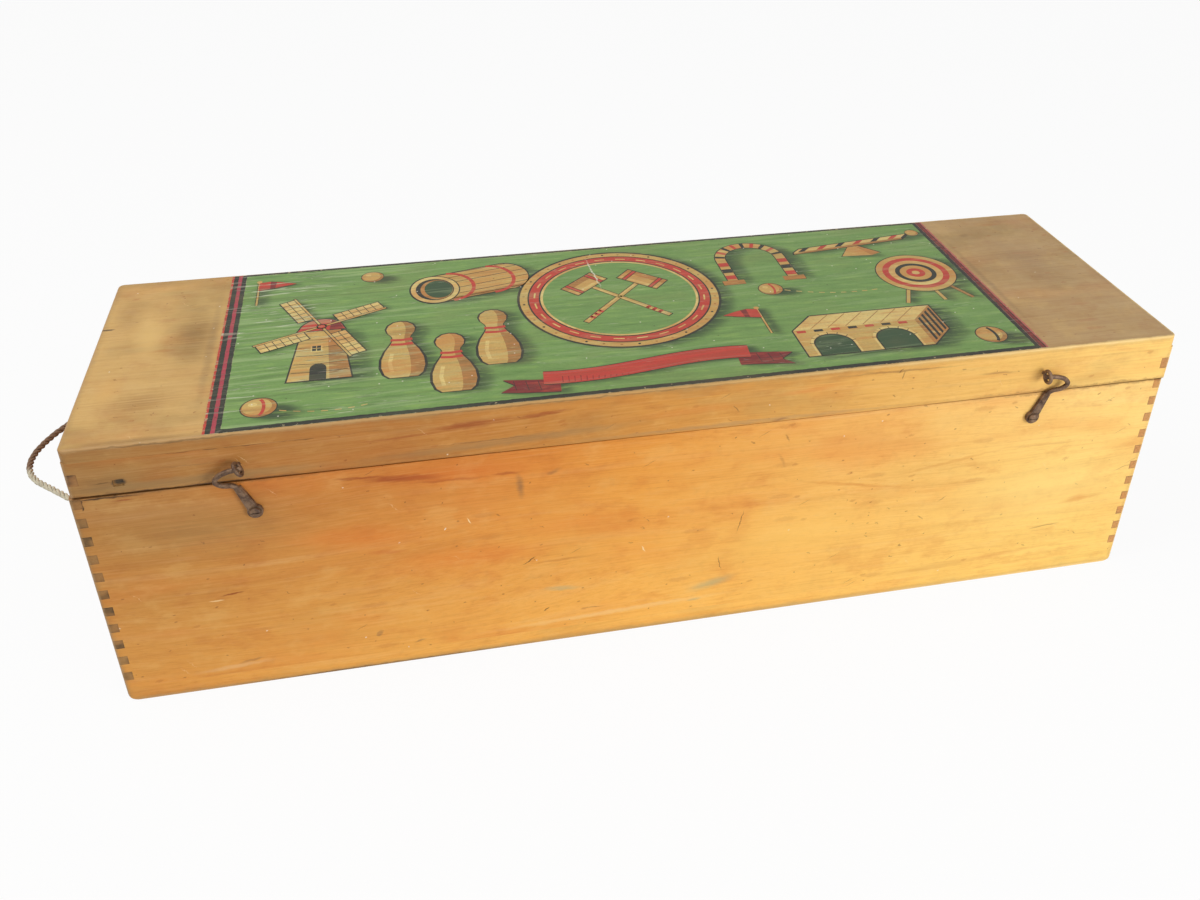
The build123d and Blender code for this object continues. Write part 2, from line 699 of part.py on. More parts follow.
def stick(name):
    turn, y = STICK_TURN[name], STICK_Y[name]
    z = FLOOR + STICK_R + STANDING_GAP
    angle = math.radians(STICK_BEND_DEG)

    def on_bend(part, beyond=0.0):
        x = STICK_RUN + STICK_BEND_R * math.sin(part) + beyond * math.cos(part)
        return turn * x, y, z + STICK_BEND_R * (1 - math.cos(part)) + beyond * math.sin(part)

    start, bend, middle = (-turn * STICK_END, y, z), on_bend(0), on_bend(angle / 2)
    heel, toe = on_bend(angle), on_bend(angle, STICK_TOE)
    path = Line(start, bend) + ThreePointArc(bend, middle, heel) + Line(heel, toe)
    shaft = sweep(Plane(origin=start, z_dir=(turn, 0, 0)) * Circle(STICK_R), path=path)
    caps = shaft.edges().filter_by(GeomType.CIRCLE).sort_by(Axis.X)
    return fillet([caps[0], caps[-1]], STICK_END_R)


def build():
    parts = {
        "front_panel": front_panel(),
        "back_panel": back_panel(),
        "left_end_panel": end_panel(-1),
        "right_end_panel": end_panel(1),
        "bottom_board": bottom_board(),
        "bottom_nails": bottom_nails(),
        "lid_top_board": lid_top_board(),
        "lid_front_rail": lid_front_rail(),
        "lid_back_rail": lid_back_rail(),
        "lid_left_rail": lid_end_rail(-1),
        "lid_right_rail": lid_end_rail(1),
        "lid_label": lid_label(),
        "hinge_screws_case": hinge_screws("case"),
        "hinge_screws_lid": hinge_screws("lid"),
        "rope_handle": rope_handle(),
        "rope_knot_front": rope_knot(-ROPE_HOLE_Y),
        "rope_knot_back": rope_knot(ROPE_HOLE_Y),
        "house_front_wall": house_wall(HOUSE_FRONT),
        "house_back_wall": house_wall(HOUSE_BACK - HOUSE_BOARD),
        "bridge_front_board": bridge_side(BRIDGE_FRONT),
        "bridge_back_board": bridge_side(BRIDGE_BACK - BRIDGE_BOARD),
        "bridge_deck": bridge_deck(),
        "castle_wall": castle_wall(),
        "castle_feet": castle_feet(),
        "ramp_sides": ramp_sides(),
        "ramp_deck": ramp_deck(),
        "gate_posts": gate_posts(),
        "gate_lintel": gate_lintel(),
        "gate_feet": gate_feet(),
        "tunnel_end_boards": tunnel_end_boards(),
        "tunnel_staves": tunnel_staves(),
    }
    for side, sign in SIDES.items():
        parts["hook_" + side] = hook(side)
        parts["hook_pivot_screw_" + side] = pivot_screw(side)
        parts["screw_eye_" + side] = screw_eye(side)
        parts["hinge_leaf_case_" + side] = hinge_leaf(sign * HINGE_X, "case")
        parts["hinge_leaf_lid_" + side] = hinge_leaf(sign * HINGE_X, "lid")
        parts["hinge_pin_" + side] = hinge_pin(sign * HINGE_X)
        parts["house_roof_" + side] = house_roof(sign)
    for row, names in enumerate(BALL_NAMES):
        for column, name in enumerate(names):
            parts[name] = ball(column, row)
    for name in STICK_Y:
        parts[name] = stick(name)
    return parts


os.makedirs("parts", exist_ok=True)
for name, shape in build().items():
    export_step(shape, "parts/" + name + ".step")
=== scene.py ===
from functools import partial, reduce
import math
import random

import bmesh
import bpy
import numpy as np
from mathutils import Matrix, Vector


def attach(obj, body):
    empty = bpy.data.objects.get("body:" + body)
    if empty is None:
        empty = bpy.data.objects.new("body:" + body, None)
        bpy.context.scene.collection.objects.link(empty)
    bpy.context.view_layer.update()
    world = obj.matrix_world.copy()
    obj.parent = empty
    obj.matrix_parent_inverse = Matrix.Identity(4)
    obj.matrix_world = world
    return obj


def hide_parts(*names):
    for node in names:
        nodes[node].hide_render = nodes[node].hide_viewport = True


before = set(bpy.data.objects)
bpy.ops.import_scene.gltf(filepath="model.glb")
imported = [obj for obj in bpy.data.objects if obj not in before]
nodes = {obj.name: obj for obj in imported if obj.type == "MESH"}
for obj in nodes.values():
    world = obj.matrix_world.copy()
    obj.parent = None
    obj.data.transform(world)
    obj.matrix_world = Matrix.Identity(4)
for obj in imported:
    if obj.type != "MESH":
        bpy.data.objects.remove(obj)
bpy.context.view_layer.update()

# Sizes and places are millimetres in the row frame, and MM turns them into metres
MM = 0.001

# Camera, as it stood for the photograph
PHOTO_WIDE = 1200
PHOTO_HIGH = 900
FOCAL_PX = 1138.849
CENTRE_PX = (640.336, 362.262)
CAMERA_PLACE = (-170.87, -791.29, 667.10)
CAMERA_TURN_DEG = (58.974, -0.816, -12.184)
SENSOR = 36.0

# Place, target, size and watts of each lamp
LAMPS = {
    "key": ((1150, -1500, 560), (150, 0, 100), 1100, 17),
    "upper": ((-900, -260, 1700), (-250, 0, 200), 1000, 13),
}
WHITE = (1.0, 1.0, 1.0, 1.0)
WORLD_STRENGTH = 0.40
FLOOR_HALF = 9000
FLOOR_TONE = 0xEEEEEC
FLOOR_WHITE = 0.93

# Rope handle, with the route of the source
ROPE_ROUTE = [
    (-411, -70, 152), (-424, -70, 152), (-442, -51, 150.5), (-465, -28, 148.5), (-471, 0, 147.5),
    (-462, 28, 147.5), (-445, 50, 149), (-424, 70, 152), (-411, 70, 152),
]
ROPE_R = 2.25
ROPE_LAY = 16.0
STRANDS = 3
STRAND_R = 1.2
STRAND_OUT = 1.16
STRAND_SIDES = 10
STRAND_STEP = 0.6
SWELL = 0.05

# Knots inside the end panel: their loops' sizes, the way in, the points and the part of a turn
KNOT_ALONG = 1.35
KNOT_ACROSS = 1.25
KNOT_RISE = 2.1
KNOT_IN = 6.5
KNOT_POINTS = 40
KNOT_START = 0.35
KNOT_SHARE = 0.93

# Box and joints, as in the CAD. The fingers are given by where they start and by their height
CASE = ((-411, -121, 0), (411, 121, 189.8))
LID = ((-409.4, -121, 191.0), (412.6, 121, 229.8))
WALL = 8.0
CASE_FINGERS = (13.0, 8.036)
LID_FINGERS = (191.3, 9.4)
FRONT = -121.0
LID_TOP = LID[1][2]

# Label
LABEL_X = (-319.0, 303.0)
LABEL_Y = (-119.4, 119.4)
GREEN_X = (-307.0, 293.0)
GREEN_Y = (-115.2, 116.4)
GRID_STEP = 2.0
PAPER_TOP = 229.9
INK_STEP = 0.018

# Painted shadows, which fall to the lower right and thin out in steps
SHADOW_STEPS = 5
SHADOW_SLOPE = 0.42
SHADOW_THINS = 0.12
SHADOW_BLURS = 3


def tone(code):
    """A colour as it looks on a screen, 0xRRGGBB, turned into the shader's own scale."""
    parts = [v / 255 for v in code.to_bytes(3, "big")]
    return tuple(v / 12.92 if v <= 0.04045 else ((v + 0.055) / 1.055) ** 2.4 for v in parts) + (1.0,)


def link(name, data):
    thing = bpy.data.objects.new(name, data)
    bpy.context.scene.collection.objects.link(thing)
    return thing


def fill_inputs(tree, node, inputs):
    """Gives each input a plain value, or links another node's output to it."""
    for key, value in inputs.items():
        if isinstance(value, Value):
            value = value.socket
        if isinstance(value, bpy.types.NodeSocket):
            tree.links.new(value, node.inputs[key])
        else:
            node.inputs[key].default_value = value


def add_node(tree, kind, inputs, **settings):
    node = tree.nodes.new("ShaderNode" + kind)
    for key, value in settings.items():
        setattr(node, key, value)
    fill_inputs(tree, node, inputs)
    return node


# Camera, light and floor

def make_camera():
    data = bpy.data.cameras.new("camera")
    data.sensor_width = SENSOR
    data.lens = SENSOR * FOCAL_PX / PHOTO_WIDE
    data.shift_x = (PHOTO_WIDE / 2 - CENTRE_PX[0]) / PHOTO_WIDE
    data.shift_y = (CENTRE_PX[1] - PHOTO_HIGH / 2) / PHOTO_WIDE
    camera = link("camera", data)
    camera.location = Vector(CAMERA_PLACE) * MM
    camera.rotation_euler = [math.radians(a) for a in CAMERA_TURN_DEG]
    bpy.context.scene.camera = camera


def make_lamps():
    for name, (place, target, size, watts) in LAMPS.items():
        data = bpy.data.lights.new(name, "AREA")
        data.shape = "DISK"
        data.size = size * MM
        data.energy = watts
        lamp = link(name, data)
        lamp.location = Vector(place) * MM
        lamp.rotation_euler = (Vector(target) - Vector(place)).to_track_quat("-Z", "Y").to_euler()


def seen_white(tree, plain, white_kind, share):
    """Mixes plain with white light where the camera, a gloss or a clear surface sees it."""
    rays = add_node(tree, "LightPath", {}).outputs
    seen = rays["Is Camera Ray"]
    for other in ("Is Glossy Ray", "Is Transmission Ray"):
        seen = add_node(tree, "Math", {0: seen, 1: rays[other]}, operation="MAXIMUM").outputs[0]
    seen = add_node(tree, "Math", {0: seen, 1: share}, operation="MULTIPLY").outputs[0]
    white = add_node(tree, white_kind, {"Color": WHITE, "Strength": 1.0}).outputs[0]
    return add_node(tree, "MixShader", {0: seen, 1: plain, 2: white}).outputs[0]


def make_world():
    world = bpy.data.worlds.new("studio")
    bpy.context.scene.world = world
    world.use_nodes = True
    tree = world.node_tree
    plain = tree.nodes["Background"]
    fill_inputs(tree, plain, {"Color": WHITE, "Strength": WORLD_STRENGTH})
    light = seen_white(tree, plain.outputs[0], "Background", 1.0)
    fill_inputs(tree, tree.nodes["World Output"], {"Surface": light})


def make_floor():
    mesh = bpy.data.meshes.new("floor")
    corners = [(x * FLOOR_HALF, y * FLOOR_HALF, 0) for x, y in ((-1, -1), (1, -1), (1, 1), (-1, 1))]
    mesh.from_pydata([Vector(c) * MM for c in corners], [], [(0, 1, 2, 3)])
    floor = link("floor", mesh)
    s = Surface("floor_white", 0.9)
    s.set(Base_Color=tone(FLOOR_TONE))
    light = seen_white(s.tree, s.shader.outputs[0], "Emission", FLOOR_WHITE)
    fill_inputs(s.tree, s.tree.nodes["Material Output"], {"Surface": light})
    mesh.materials.append(s.material)


# Shader nodes

class Value:
    """A number in a material's nodes. Arithmetic on it adds the nodes that work it out."""

    def __init__(self, surface, socket):
        self.surface = surface
        self.socket = socket

    def __add__(self, other):
        return self.surface.math("ADD", self, other)

    def __sub__(self, other):
        return self.surface.math("SUBTRACT", self, other)

    def __rsub__(self, other):
        return self.surface.math("SUBTRACT", other, self)

    def __mul__(self, other):
        return self.surface.math("MULTIPLY", self, other)

    def __abs__(self):
        return self.surface.math("ABSOLUTE", self)


class Surface:
    """The shader nodes of one material. Places and sizes are millimetres in the row frame."""

    def __init__(self, name, roughness=0.5):
        self.material = bpy.data.materials.new(name)
        self.material.use_nodes = True
        self.tree = self.material.node_tree
        self.shader = self.tree.nodes["Principled BSDF"]
        coordinates = self.add("TexCoord", {})
        self.uv = coordinates.outputs["UV"]
        self.facing = self.axes(coordinates.outputs["Normal"])
        self.place = self.vector("SCALE", {0: coordinates.outputs["Object"], 3: 1 / MM})
        self.x, self.y, self.z = self.axes(self.place)
        self.set(Roughness=roughness)

    def add(self, kind, inputs, **settings):
        return add_node(self.tree, kind, inputs, **settings)

    def number(self, kind, inputs, output=0, **settings):
        return Value(self, self.add(kind, inputs, **settings).outputs[output])

    def set(self, **inputs):
        """Sets the shader's inputs, with an underline for each space in their names."""
        fill_inputs(self.tree, self.shader, {key.replace("_", " "): value for key, value in inputs.items()})

    def math(self, kind, a, b=0.0):
        return self.number("Math", {0: a, 1: b}, operation=kind)

    def least(self, *values):
        return reduce(lambda a, b: self.math("MINIMUM", a, b), values)

    def most(self, *values):
        return reduce(lambda a, b: self.math("MAXIMUM", a, b), values)

    def axes(self, vector):
        return [Value(self, output) for output in self.add("SeparateXYZ", {0: vector}).outputs]

    def joined(self, x, y, z=0.0):
        return self.add("CombineXYZ", {0: x, 1: y, 2: z}).outputs[0]

    def vector(self, kind, inputs, output="Vector"):
        return self.add("VectorMath", inputs, operation=kind).outputs[output]

    def fade(self, value, start, end, low=0.0, high=1.0):
        """Turns smoothly from low at start to high at end."""
        inputs = {"Value": value, "From Min": start, "From Max": end, "To Min": low, "To Max": high}
        return self.number("MapRange", inputs, interpolation_type="SMOOTHSTEP")

    def mix(self, share, a, b, blend="MIX"):
        """Two colours mixed, each of them a node's output or a tone's code."""
        a, b = [tone(colour) if isinstance(colour, int) else colour for colour in (a, b)]
        return self.add("Mix", {0: share, 6: a, 7: b}, data_type="RGBA", blend_type=blend).outputs[2]

    def stained(self, colour, *stains):
        """The colour under stains, each given by its source, where that starts and ends, share and tone."""
        for source, start, end, share, *stain in stains:
            colour = self.mix(self.fade(source, start, end, 0.0, share), colour, *stain)
        return colour

    def stain(self, *stains):
        self.colour = self.stained(self.colour, *stains)

    def tint(self, share, over):
        """Lays another colour over the surface's own."""
        self.colour = self.mix(share, self.colour, over)

    def ramp(self, value, stops):
        node = self.add("ValToRGB", {0: value})
        elements = node.color_ramp.elements
        while len(elements) < len(stops):
            elements.new(0.5)
        for element, (position, stop_tone) in zip(elements, stops):
            element.position = position
            element.color = tone(stop_tone)
        return node.outputs[0]

    def spread(self, size, turn=(0, 0, 0), shift=(0, 0, 0), place=None):
        """The place divided by size on each axis, after a turn in degrees."""
        turned = {
            "Vector": place or self.place, "Location": shift,
            "Rotation": [math.radians(a) for a in turn], "Scale": size,
        }
        return self.add("Mapping", turned, vector_type="TEXTURE").outputs[0]

    def noise(self, size, detail=2.0, rough=0.5, shift=(0, 0, 0), turn=(0, 0, 0), place=None):
        spread = self.spread(size, turn, shift, place)
        return self.number("TexNoise", {"Vector": spread, "Scale": 1.0, "Detail": detail, "Roughness": rough})

    def shaken(self, size, reach, detail):
        """The place moved by a noise, from none to reach along each axis."""
        shake = self.add("TexNoise", {"Vector": self.spread(size), "Scale": 1.0, "Detail": detail}).outputs[1]
        return self.vector("ADD", {0: self.place, 1: self.vector("SCALE", {0: shake, 3: reach})})

    def flecks(self, size, radius, keep, shift=0.0, turn=0.0, place=None):
        """Scattered spots in a plane: in a share keep of the cells, an ellipse of radius times the size."""
        spread = self.spread((*size, 1.0), (0, 0, turn), (shift, 0, 0), place)
        cells = self.add("TexVoronoi", {"Vector": spread, "Scale": 1.0}, voronoi_dimensions="2D").outputs
        chance = self.number("SeparateColor", {0: cells["Color"]})
        return self.fade(cells["Distance"], radius, radius * 0.4) * self.math("LESS_THAN", chance, keep)

    def patch(self, centre, half, turn, soft, place):
        """1 inside an ellipsoid round centre, fading to 0 at its rim."""
        reach = self.vector("LENGTH", {0: self.spread(half, turn, centre, place)}, "Value")
        return self.fade(reach, 1.0, 1.0 - soft)

    def finish(self, height, depth):
        """The material in its colour, raised by height times depth in millimetres."""
        raised = self.add("Bump", {"Height": height, "Distance": depth * MM, "Strength": 1.0}).outputs[0]
        self.set(Base_Color=self.colour, Normal=raised)
        return self.material


def give(material, *names):
    for name in names:
        mesh = nodes[name].data
        mesh.materials.clear()
        mesh.materials.append(material)


# Wood

WOOD_DARK = 0xBE7C3A
WOOD_OLIVE = 0x967E50
WOOD_RED = 0x923C1A
WOOD_PALE = 0xF8DEAA
DEEP_BROWN = 0x3A2A1E
RAW_INSIDE = 0xD6B078
SEED_SHIFT = (171.3, 57.7, 93.1)
MARK_DEEP = 3.0

# Size of the cells along and across the grain, radius, share kept, turn, strength and tone
FLECKS = [
    ((30, 15), 0.048, 0.17, 0, 0.55, 0x8E4A24),
    ((13, 13), 0.055, 0.07, 0, 0.6, 0x7C4222),
    ((46, 20), 0.080, 0.16, 9, 0.32, 0xB0602A),
    ((21, 17), 0.045, 0.14, 0, 0.5, 0xA65C2E),
    ((36, 9), 0.070, 0.06, -32, 0.5, 0x7C4A28),
    ((80, 19), 0.160, 0.20, 0, 0.22, 0xB2622A),
    ((34, 34), 0.022, 0.14, 0, 0.8, 0xF4EAD0),
    ((70, 3.0), 0.090, 0.02, -52, 0.4, 0xFAD8A0),
    ((85, 3.2), 0.080, 0.022, 28, 0.5, 0x6E462A),
]


def wood(name, grain, low_stops, high_stops, shell, fingers, seed, marks=(), end_tone=0xA07646,
         cloudy=0.2, warmth=0.34, side_stops=None, flat="Y"):
    """Aged varnished pine whose broad face looks along flat, with tones along X at its foot and its top."""
    s = Surface(name)
    is_case = shell is CASE
    shift = tuple(seed * v for v in SEED_SHIFT)
    other = (shift[2], shift[0], shift[1])
    facing = dict(zip("XYZ", s.facing))

    def grained(long, wide):
        return tuple(long if axis == grain else wide for axis in "XYZ")

    sway = (s.noise(grained(420, 85), 1.0, shift=shift) - 0.5) * 46.0
    lift = s.joined(0.0, sway if grain == "X" else 0.0, sway)
    along = s.vector("ADD", {0: s.place, 1: lift})

    # Distance to the box's outside faces and edges
    (x0, y0, z0), (x1, y1, z1) = shell
    gap_x, gap_y = s.least(s.x - x0, x1 - s.x), s.least(s.y - y0, y1 - s.y)
    from_foot, from_top = s.z - z0, z1 - s.z
    gap_z, seam_gap = (from_foot, from_top) if is_case else (from_top, from_foot)
    edge = s.most(s.least(gap_x, gap_y), s.least(s.most(gap_x, gap_y), gap_z))

    # Broad tone
    span, height = [
        s.number("MapRange", {"Value": value, "From Min": start, "From Max": end})
        for value, start, end in ((s.x, x0, x1), (s.z, z0, z1))
    ]
    s.colour = s.mix(height, s.ramp(span, low_stops), s.ramp(span, high_stops))
    if side_stops:
        s.tint(s.fade(abs(facing["Y"]), 0.5, 0.8), s.ramp(span, side_stops))

    # Growth rings and fine grain, then age: clouds of dirt, warmer varnish, mottling
    bands = s.noise(grained(600, 13), 2.0, 0.5, shift, place=along)
    streaks = s.noise(grained(70, 1.3), 3.0, 0.6, shift, place=along)
    pores = s.noise(grained(9, 0.5), 2.0, 0.6, shift, place=along)
    blotch = s.noise((95, 60, 42), 3.0, 0.6, shift)
    warm = s.noise(grained(120, 30), 2.0, 0.5, other)
    clouds = s.noise((34, 34, 20), 4.0, 0.65, other)
    mottle = s.noise((9, 9, 7), 3.0, 0.65, shift)
    s.stain(
        (bands, 0.5, 0.8, 0.17, WOOD_DARK, "MULTIPLY"),
        (bands, 0.45, 0.25, 0.08, WOOD_PALE),
        (streaks, 0.45, 0.75, 0.17, WOOD_DARK, "MULTIPLY"),
        (streaks, 0.5, 0.28, 0.07, WOOD_PALE),
        (pores, 0.55, 0.8, 0.3, WOOD_DARK, "MULTIPLY"),
        (blotch, 0.46, 0.74, cloudy, WOOD_OLIVE),
        (warm, 0.5, 0.8, warmth, 0xE48438),
        (clouds, 0.5, 0.72, 0.2, 0xCE7A32, "MULTIPLY"),
        (clouds, 0.48, 0.3, 0.12, 0xFFD888),
        (mottle, 0.5, 0.8, 0.12, 0xB0804E),
    )

    # Specks, dents and scratches
    shake = (s.noise((2.6, 2.6, 2.6), 2.0, 0.7) - 0.5) * 3.2
    face = s.joined((s.x if grain == "X" else s.y) + shake, (s.y if flat == "Z" else s.z) + shake)
    on_face = s.fade(abs(facing[flat]), 0.5, 0.8)
    for size, radius, keep, turn, share, spot_tone in FLECKS:
        spots = s.flecks(size, radius, keep, shift[0], turn, face) * on_face
        s.tint(spots * share, spot_tone)

    # Handled edges, and painted shade along the seam between lid and case, stronger towards the ends
    wobble = (mottle - 0.5) * 7.0
    s.stain((edge + wobble, 6.0, 0.4, 0.3, 0x96764A))
    s.tint(s.fade(seam_gap + wobble, 2.2, 0.2) * s.fade(abs(s.x), 180, 330, 0.1, 0.45), 0x704C2A)

    # End grain in the fingers, dark in the joint lines and faint at the right, most of all in the top finger
    rings = s.noise((2.2, 2.2, 1.4), 3.0, 0.7, shift)
    start, pitch = fingers
    phase = s.math("FRACT", (s.z - start) * (1 / pitch))
    rim = s.least((0.5 - abs(phase - 0.5)) * pitch, WALL - (gap_y if grain == "X" else gap_x))
    end_colour = s.stained(
        end_tone, (rings, 0.42, 0.72, 0.7, 0x5C442A), (rim + (mottle - 0.5) * 1.6, 1.0, 0.1, 0.7, DEEP_BROWN),
    )
    kept = s.fade(s.noise((11, 11, 11), 1.0, shift=other), 0.38, 0.62, 0.55, 1.0)
    kept = kept * s.fade(s.x, -300, 300, 1.0, 0.62)
    if is_case:
        kept = kept * s.most(s.fade(from_top, 15.5, 16.0), s.fade(s.x, -300, 300, 1.0, 0.12))
    s.tint(s.fade(abs(facing[grain]), 0.6, 0.75) * kept, end_colour)

    # Worn arris, paler towards the right, where the paling is painted light
    arris_tone = s.ramp(span, [(0.0, 0xBE9868), (0.5, 0xC49C62), (0.9, 0xFAD892)])
    s.stain((edge + wobble * 0.5, 3.0, 0.5, 0.7, arris_tone))

    # Marks at their own places, with ragged rims
    ragged = s.vector("SUBTRACT", {0: s.shaken((9, 9, 4), 3.4, 3.0), 1: (1.7, 1.7, 1.7)})
    fibres = s.fade(streaks, 0.25, 0.6, 0.55, 1.0)
    for mark_tone, centre, half, turn, share, soft in marks:
        s.tint(s.patch(centre, half, turn, soft, ragged) * share * fibres, mark_tone)

    # Unvarnished inside
    inside = s.fade(s.least(gap_x, gap_y, gap_z), 3.0, 5.0)
    raw = s.stained(RAW_INSIDE, (streaks, 0.4, 0.7, 0.5, 0xB48854), (blotch, 0.5, 0.75, 0.4, 0xA68A62))
    s.tint(inside, raw)
    rough = s.fade((mottle + blotch) * 0.5, 0.35, 0.7, 0.42, 0.6)
    s.set(Roughness=rough + inside * (0.75 - rough), Specular_IOR_Level=0.25)

    # The last flecks, which are scratches, are cut into the surface
    return s.finish(streaks * 0.6 + pores * 0.4 - spots, 0.07)


# Marks are rows of tone, place, half sizes, turn anticlockwise in degrees, share and softness

def on_front(rows):
    """Marks on the front face, placed by x and z."""
    return [
        (mark_tone, (x, FRONT, z), (half_x, MARK_DEEP, half_z), (0, -turn, 0), *look)
        for mark_tone, x, z, half_x, half_z, turn, *look in rows
    ]


def on_top(rows):
    """Marks on the lid's top, placed by x and y."""
    return [
        (mark_tone, (x, y, LID_TOP), (half_x, half_y, MARK_DEEP), (0, 0, turn), *look)
        for mark_tone, x, y, half_x, half_y, turn, *look in rows
    ]


SMUDGE = 0x7E6044
BLACK_LINE = 0x281C14
PALE_LINE = 0xFCE2AA
GREEN_GREY = 0xAEAC80

# Front tones along X at the foot and the top. Their brightening towards the right is partly the wood's own
# colour and partly painted light.
FRONT_LOW_TONE_AND_LIGHT = [(0.04, 0xE8A44C), (0.48, 0xFDC05C), (0.92, 0xFAD070)]
FRONT_HIGH_TONE_AND_LIGHT = [(0.04, 0xB47C3E), (0.33, 0xDC8636), (0.48, 0xE89A3E), (0.92, 0xFAD07A)]
FRONT_MARKS = on_front([
    (WOOD_OLIVE, -330, 152, 95, 34, -4, 0.4, 1),
    (WOOD_RED, -190, 177, 37, 4.2, -4, 0.8, 0.7),
    (WOOD_RED, -222, 181.5, 22, 1.6, -3, 0.6, 0.7),
    (WOOD_RED, -160, 171, 40, 2, -2, 0.45, 0.8),
    (WOOD_RED, -118, 171, 14, 2, -2, 0.6, 0.8),
    (0xD6702C, -150, 176, 80, 12, -2, 0.5, 1),
    (SMUDGE, -109, 158, 4, 15, 4, 0.6, 0.9),
    (SMUDGE, -84, 168, 8, 3, 20, 0.35, 0.9),
    (0xC45822, -209, 112, 20, 3, -4, 0.5, 0.9),
    (0xE47C2E, -150, 98, 84, 15, -2, 0.5, 1),
    (0xE4782C, -225, 128, 62, 18, -5, 0.42, 1),
    (0xEA8634, -60, 118, 70, 16, 3, 0.35, 1),
    (0x8C3A16, -321, 91.5, 11, 1.1, 8, 0.85, 0.7),
    (PALE_LINE, -333, 86.5, 6.5, 0.7, 0, 0.8, 0.5),
    (BLACK_LINE, -104.5, 86, 7.5, 0.55, 30, 0.8, 0.5),
    (0xB0642C, -80, 83, 34, 2, 0, 0.35, 0.9),
    (0x6E4224, 63, 98.5, 13, 0.6, 77, 0.75, 0.6),
    (0x603C24, 48, 58, 9, 0.55, -78, 0.75, 0.6),
    (PALE_LINE, -147.7, 132, 4.2, 0.6, -72, 0.85, 0.5),
    (PALE_LINE, -15.5, 83.5, 4.2, 0.7, -66, 0.9, 0.5),
    (GREEN_GREY, -80, 54, 20, 3.4, -6, 0.55, 0.9),
    (GREEN_GREY, 42, 38, 26, 6.5, 14, 0.6, 0.9),
    (GREEN_GREY, 28, 23, 8, 2.6, 6, 0.55, 0.9),
    (BLACK_LINE, -93, 34.3, 3.4, 0.8, 38, 0.8, 0.5),
    (BLACK_LINE, -235.9, 10.5, 3.6, 1.4, 24, 0.8, 0.5),
    (SMUDGE, -222, 33, 4.2, 3, 60, 0.5, 0.5),
    (SMUDGE, -192, 20, 6, 1.2, 10, 0.55, 0.8),
    (SMUDGE, -318, 24, 12, 1.8, 10, 0.45, 0.8),
    (SMUDGE, 94, 10, 7, 1.8, -6, 0.6, 0.8),
    (0x785632, -56, 29.5, 12, 0.5, -3, 0.55, 0.6),
    (0xCE8036, 150, 122, 62, 2.2, -12, 0.42, 0.8),
    (0xCE863C, 232, 131, 60, 2, 9, 0.36, 0.8),
    (0xCE8A44, 320, 138, 52, 1.8, -1, 0.3, 0.8),
    (0xDC964C, 170, 160, 90, 12, -8, 0.35, 1),
    (0xDE8C3E, 360, 78, 14, 4.5, 12, 0.5, 0.9),
    (0x96643A, 336, 51, 17, 1, 7, 0.55, 0.7),
    (0x8C6038, 398, 104.5, 12, 0.5, 16, 0.55, 0.6),
    (0xBE8242, 240, 22, 60, 6, 3, 0.3, 1),
    (0x964622, -377.7, 185.4, 9, 0.9, 0, 0.7, 0.6),
    (BLACK_LINE, -403, 184.4, 1, 5, 0, 0.9, 0.4),
    (BLACK_LINE, -390, 188.6, 28, 0.9, 0, 0.8, 0.5),
    (0xF4ECD4, -404.2, 168.3, 1.3, 1.5, 0, 0.9, 0.4),
    # The next two marks, large pale patches over the right half, are painted light.
    (0xFFE08A, 330, 92, 110, 46, 4, 0.45, 1),
    (0xFFCE6A, 110, 78, 100, 36, 4, 0.4, 1),
    (0xD4863A, 364, 76, 26, 3, 6, 0.5, 0.9),
    (0xD69248, 300, 26, 58, 3.4, 5, 0.4, 1),
    (0x603C24, 93, 9.2, 4.5, 1.1, -8, 0.7, 0.7),
    (0x966034, 95.5, 174, 1.2, 5, 20, 0.55, 0.7),
    (0xB07840, 93, 153, 2, 10, 24, 0.4, 0.9),
    (0x966034, 218, 78, 5, 0.8, -38, 0.6, 0.7),
    (0xA06838, 235, 95, 6, 0.7, 34, 0.55, 0.7),
    # The next two marks, pale streaks low on the front, are painted highlights.
    (0xFCDEA0, -40, 22, 130, 3.4, 2, 0.4, 0.9),
    (0xFCE0AA, -330, 20, 40, 3, 4, 0.3, 0.9),
    # The last two marks darken the front along its foot.
    (DEEP_BROWN, -220, 0.6, 150, 1.3, 0, 0.6, 0.7),
    (0xB49660, 0, 2, 411, 4, 0, 0.3, 1),
])
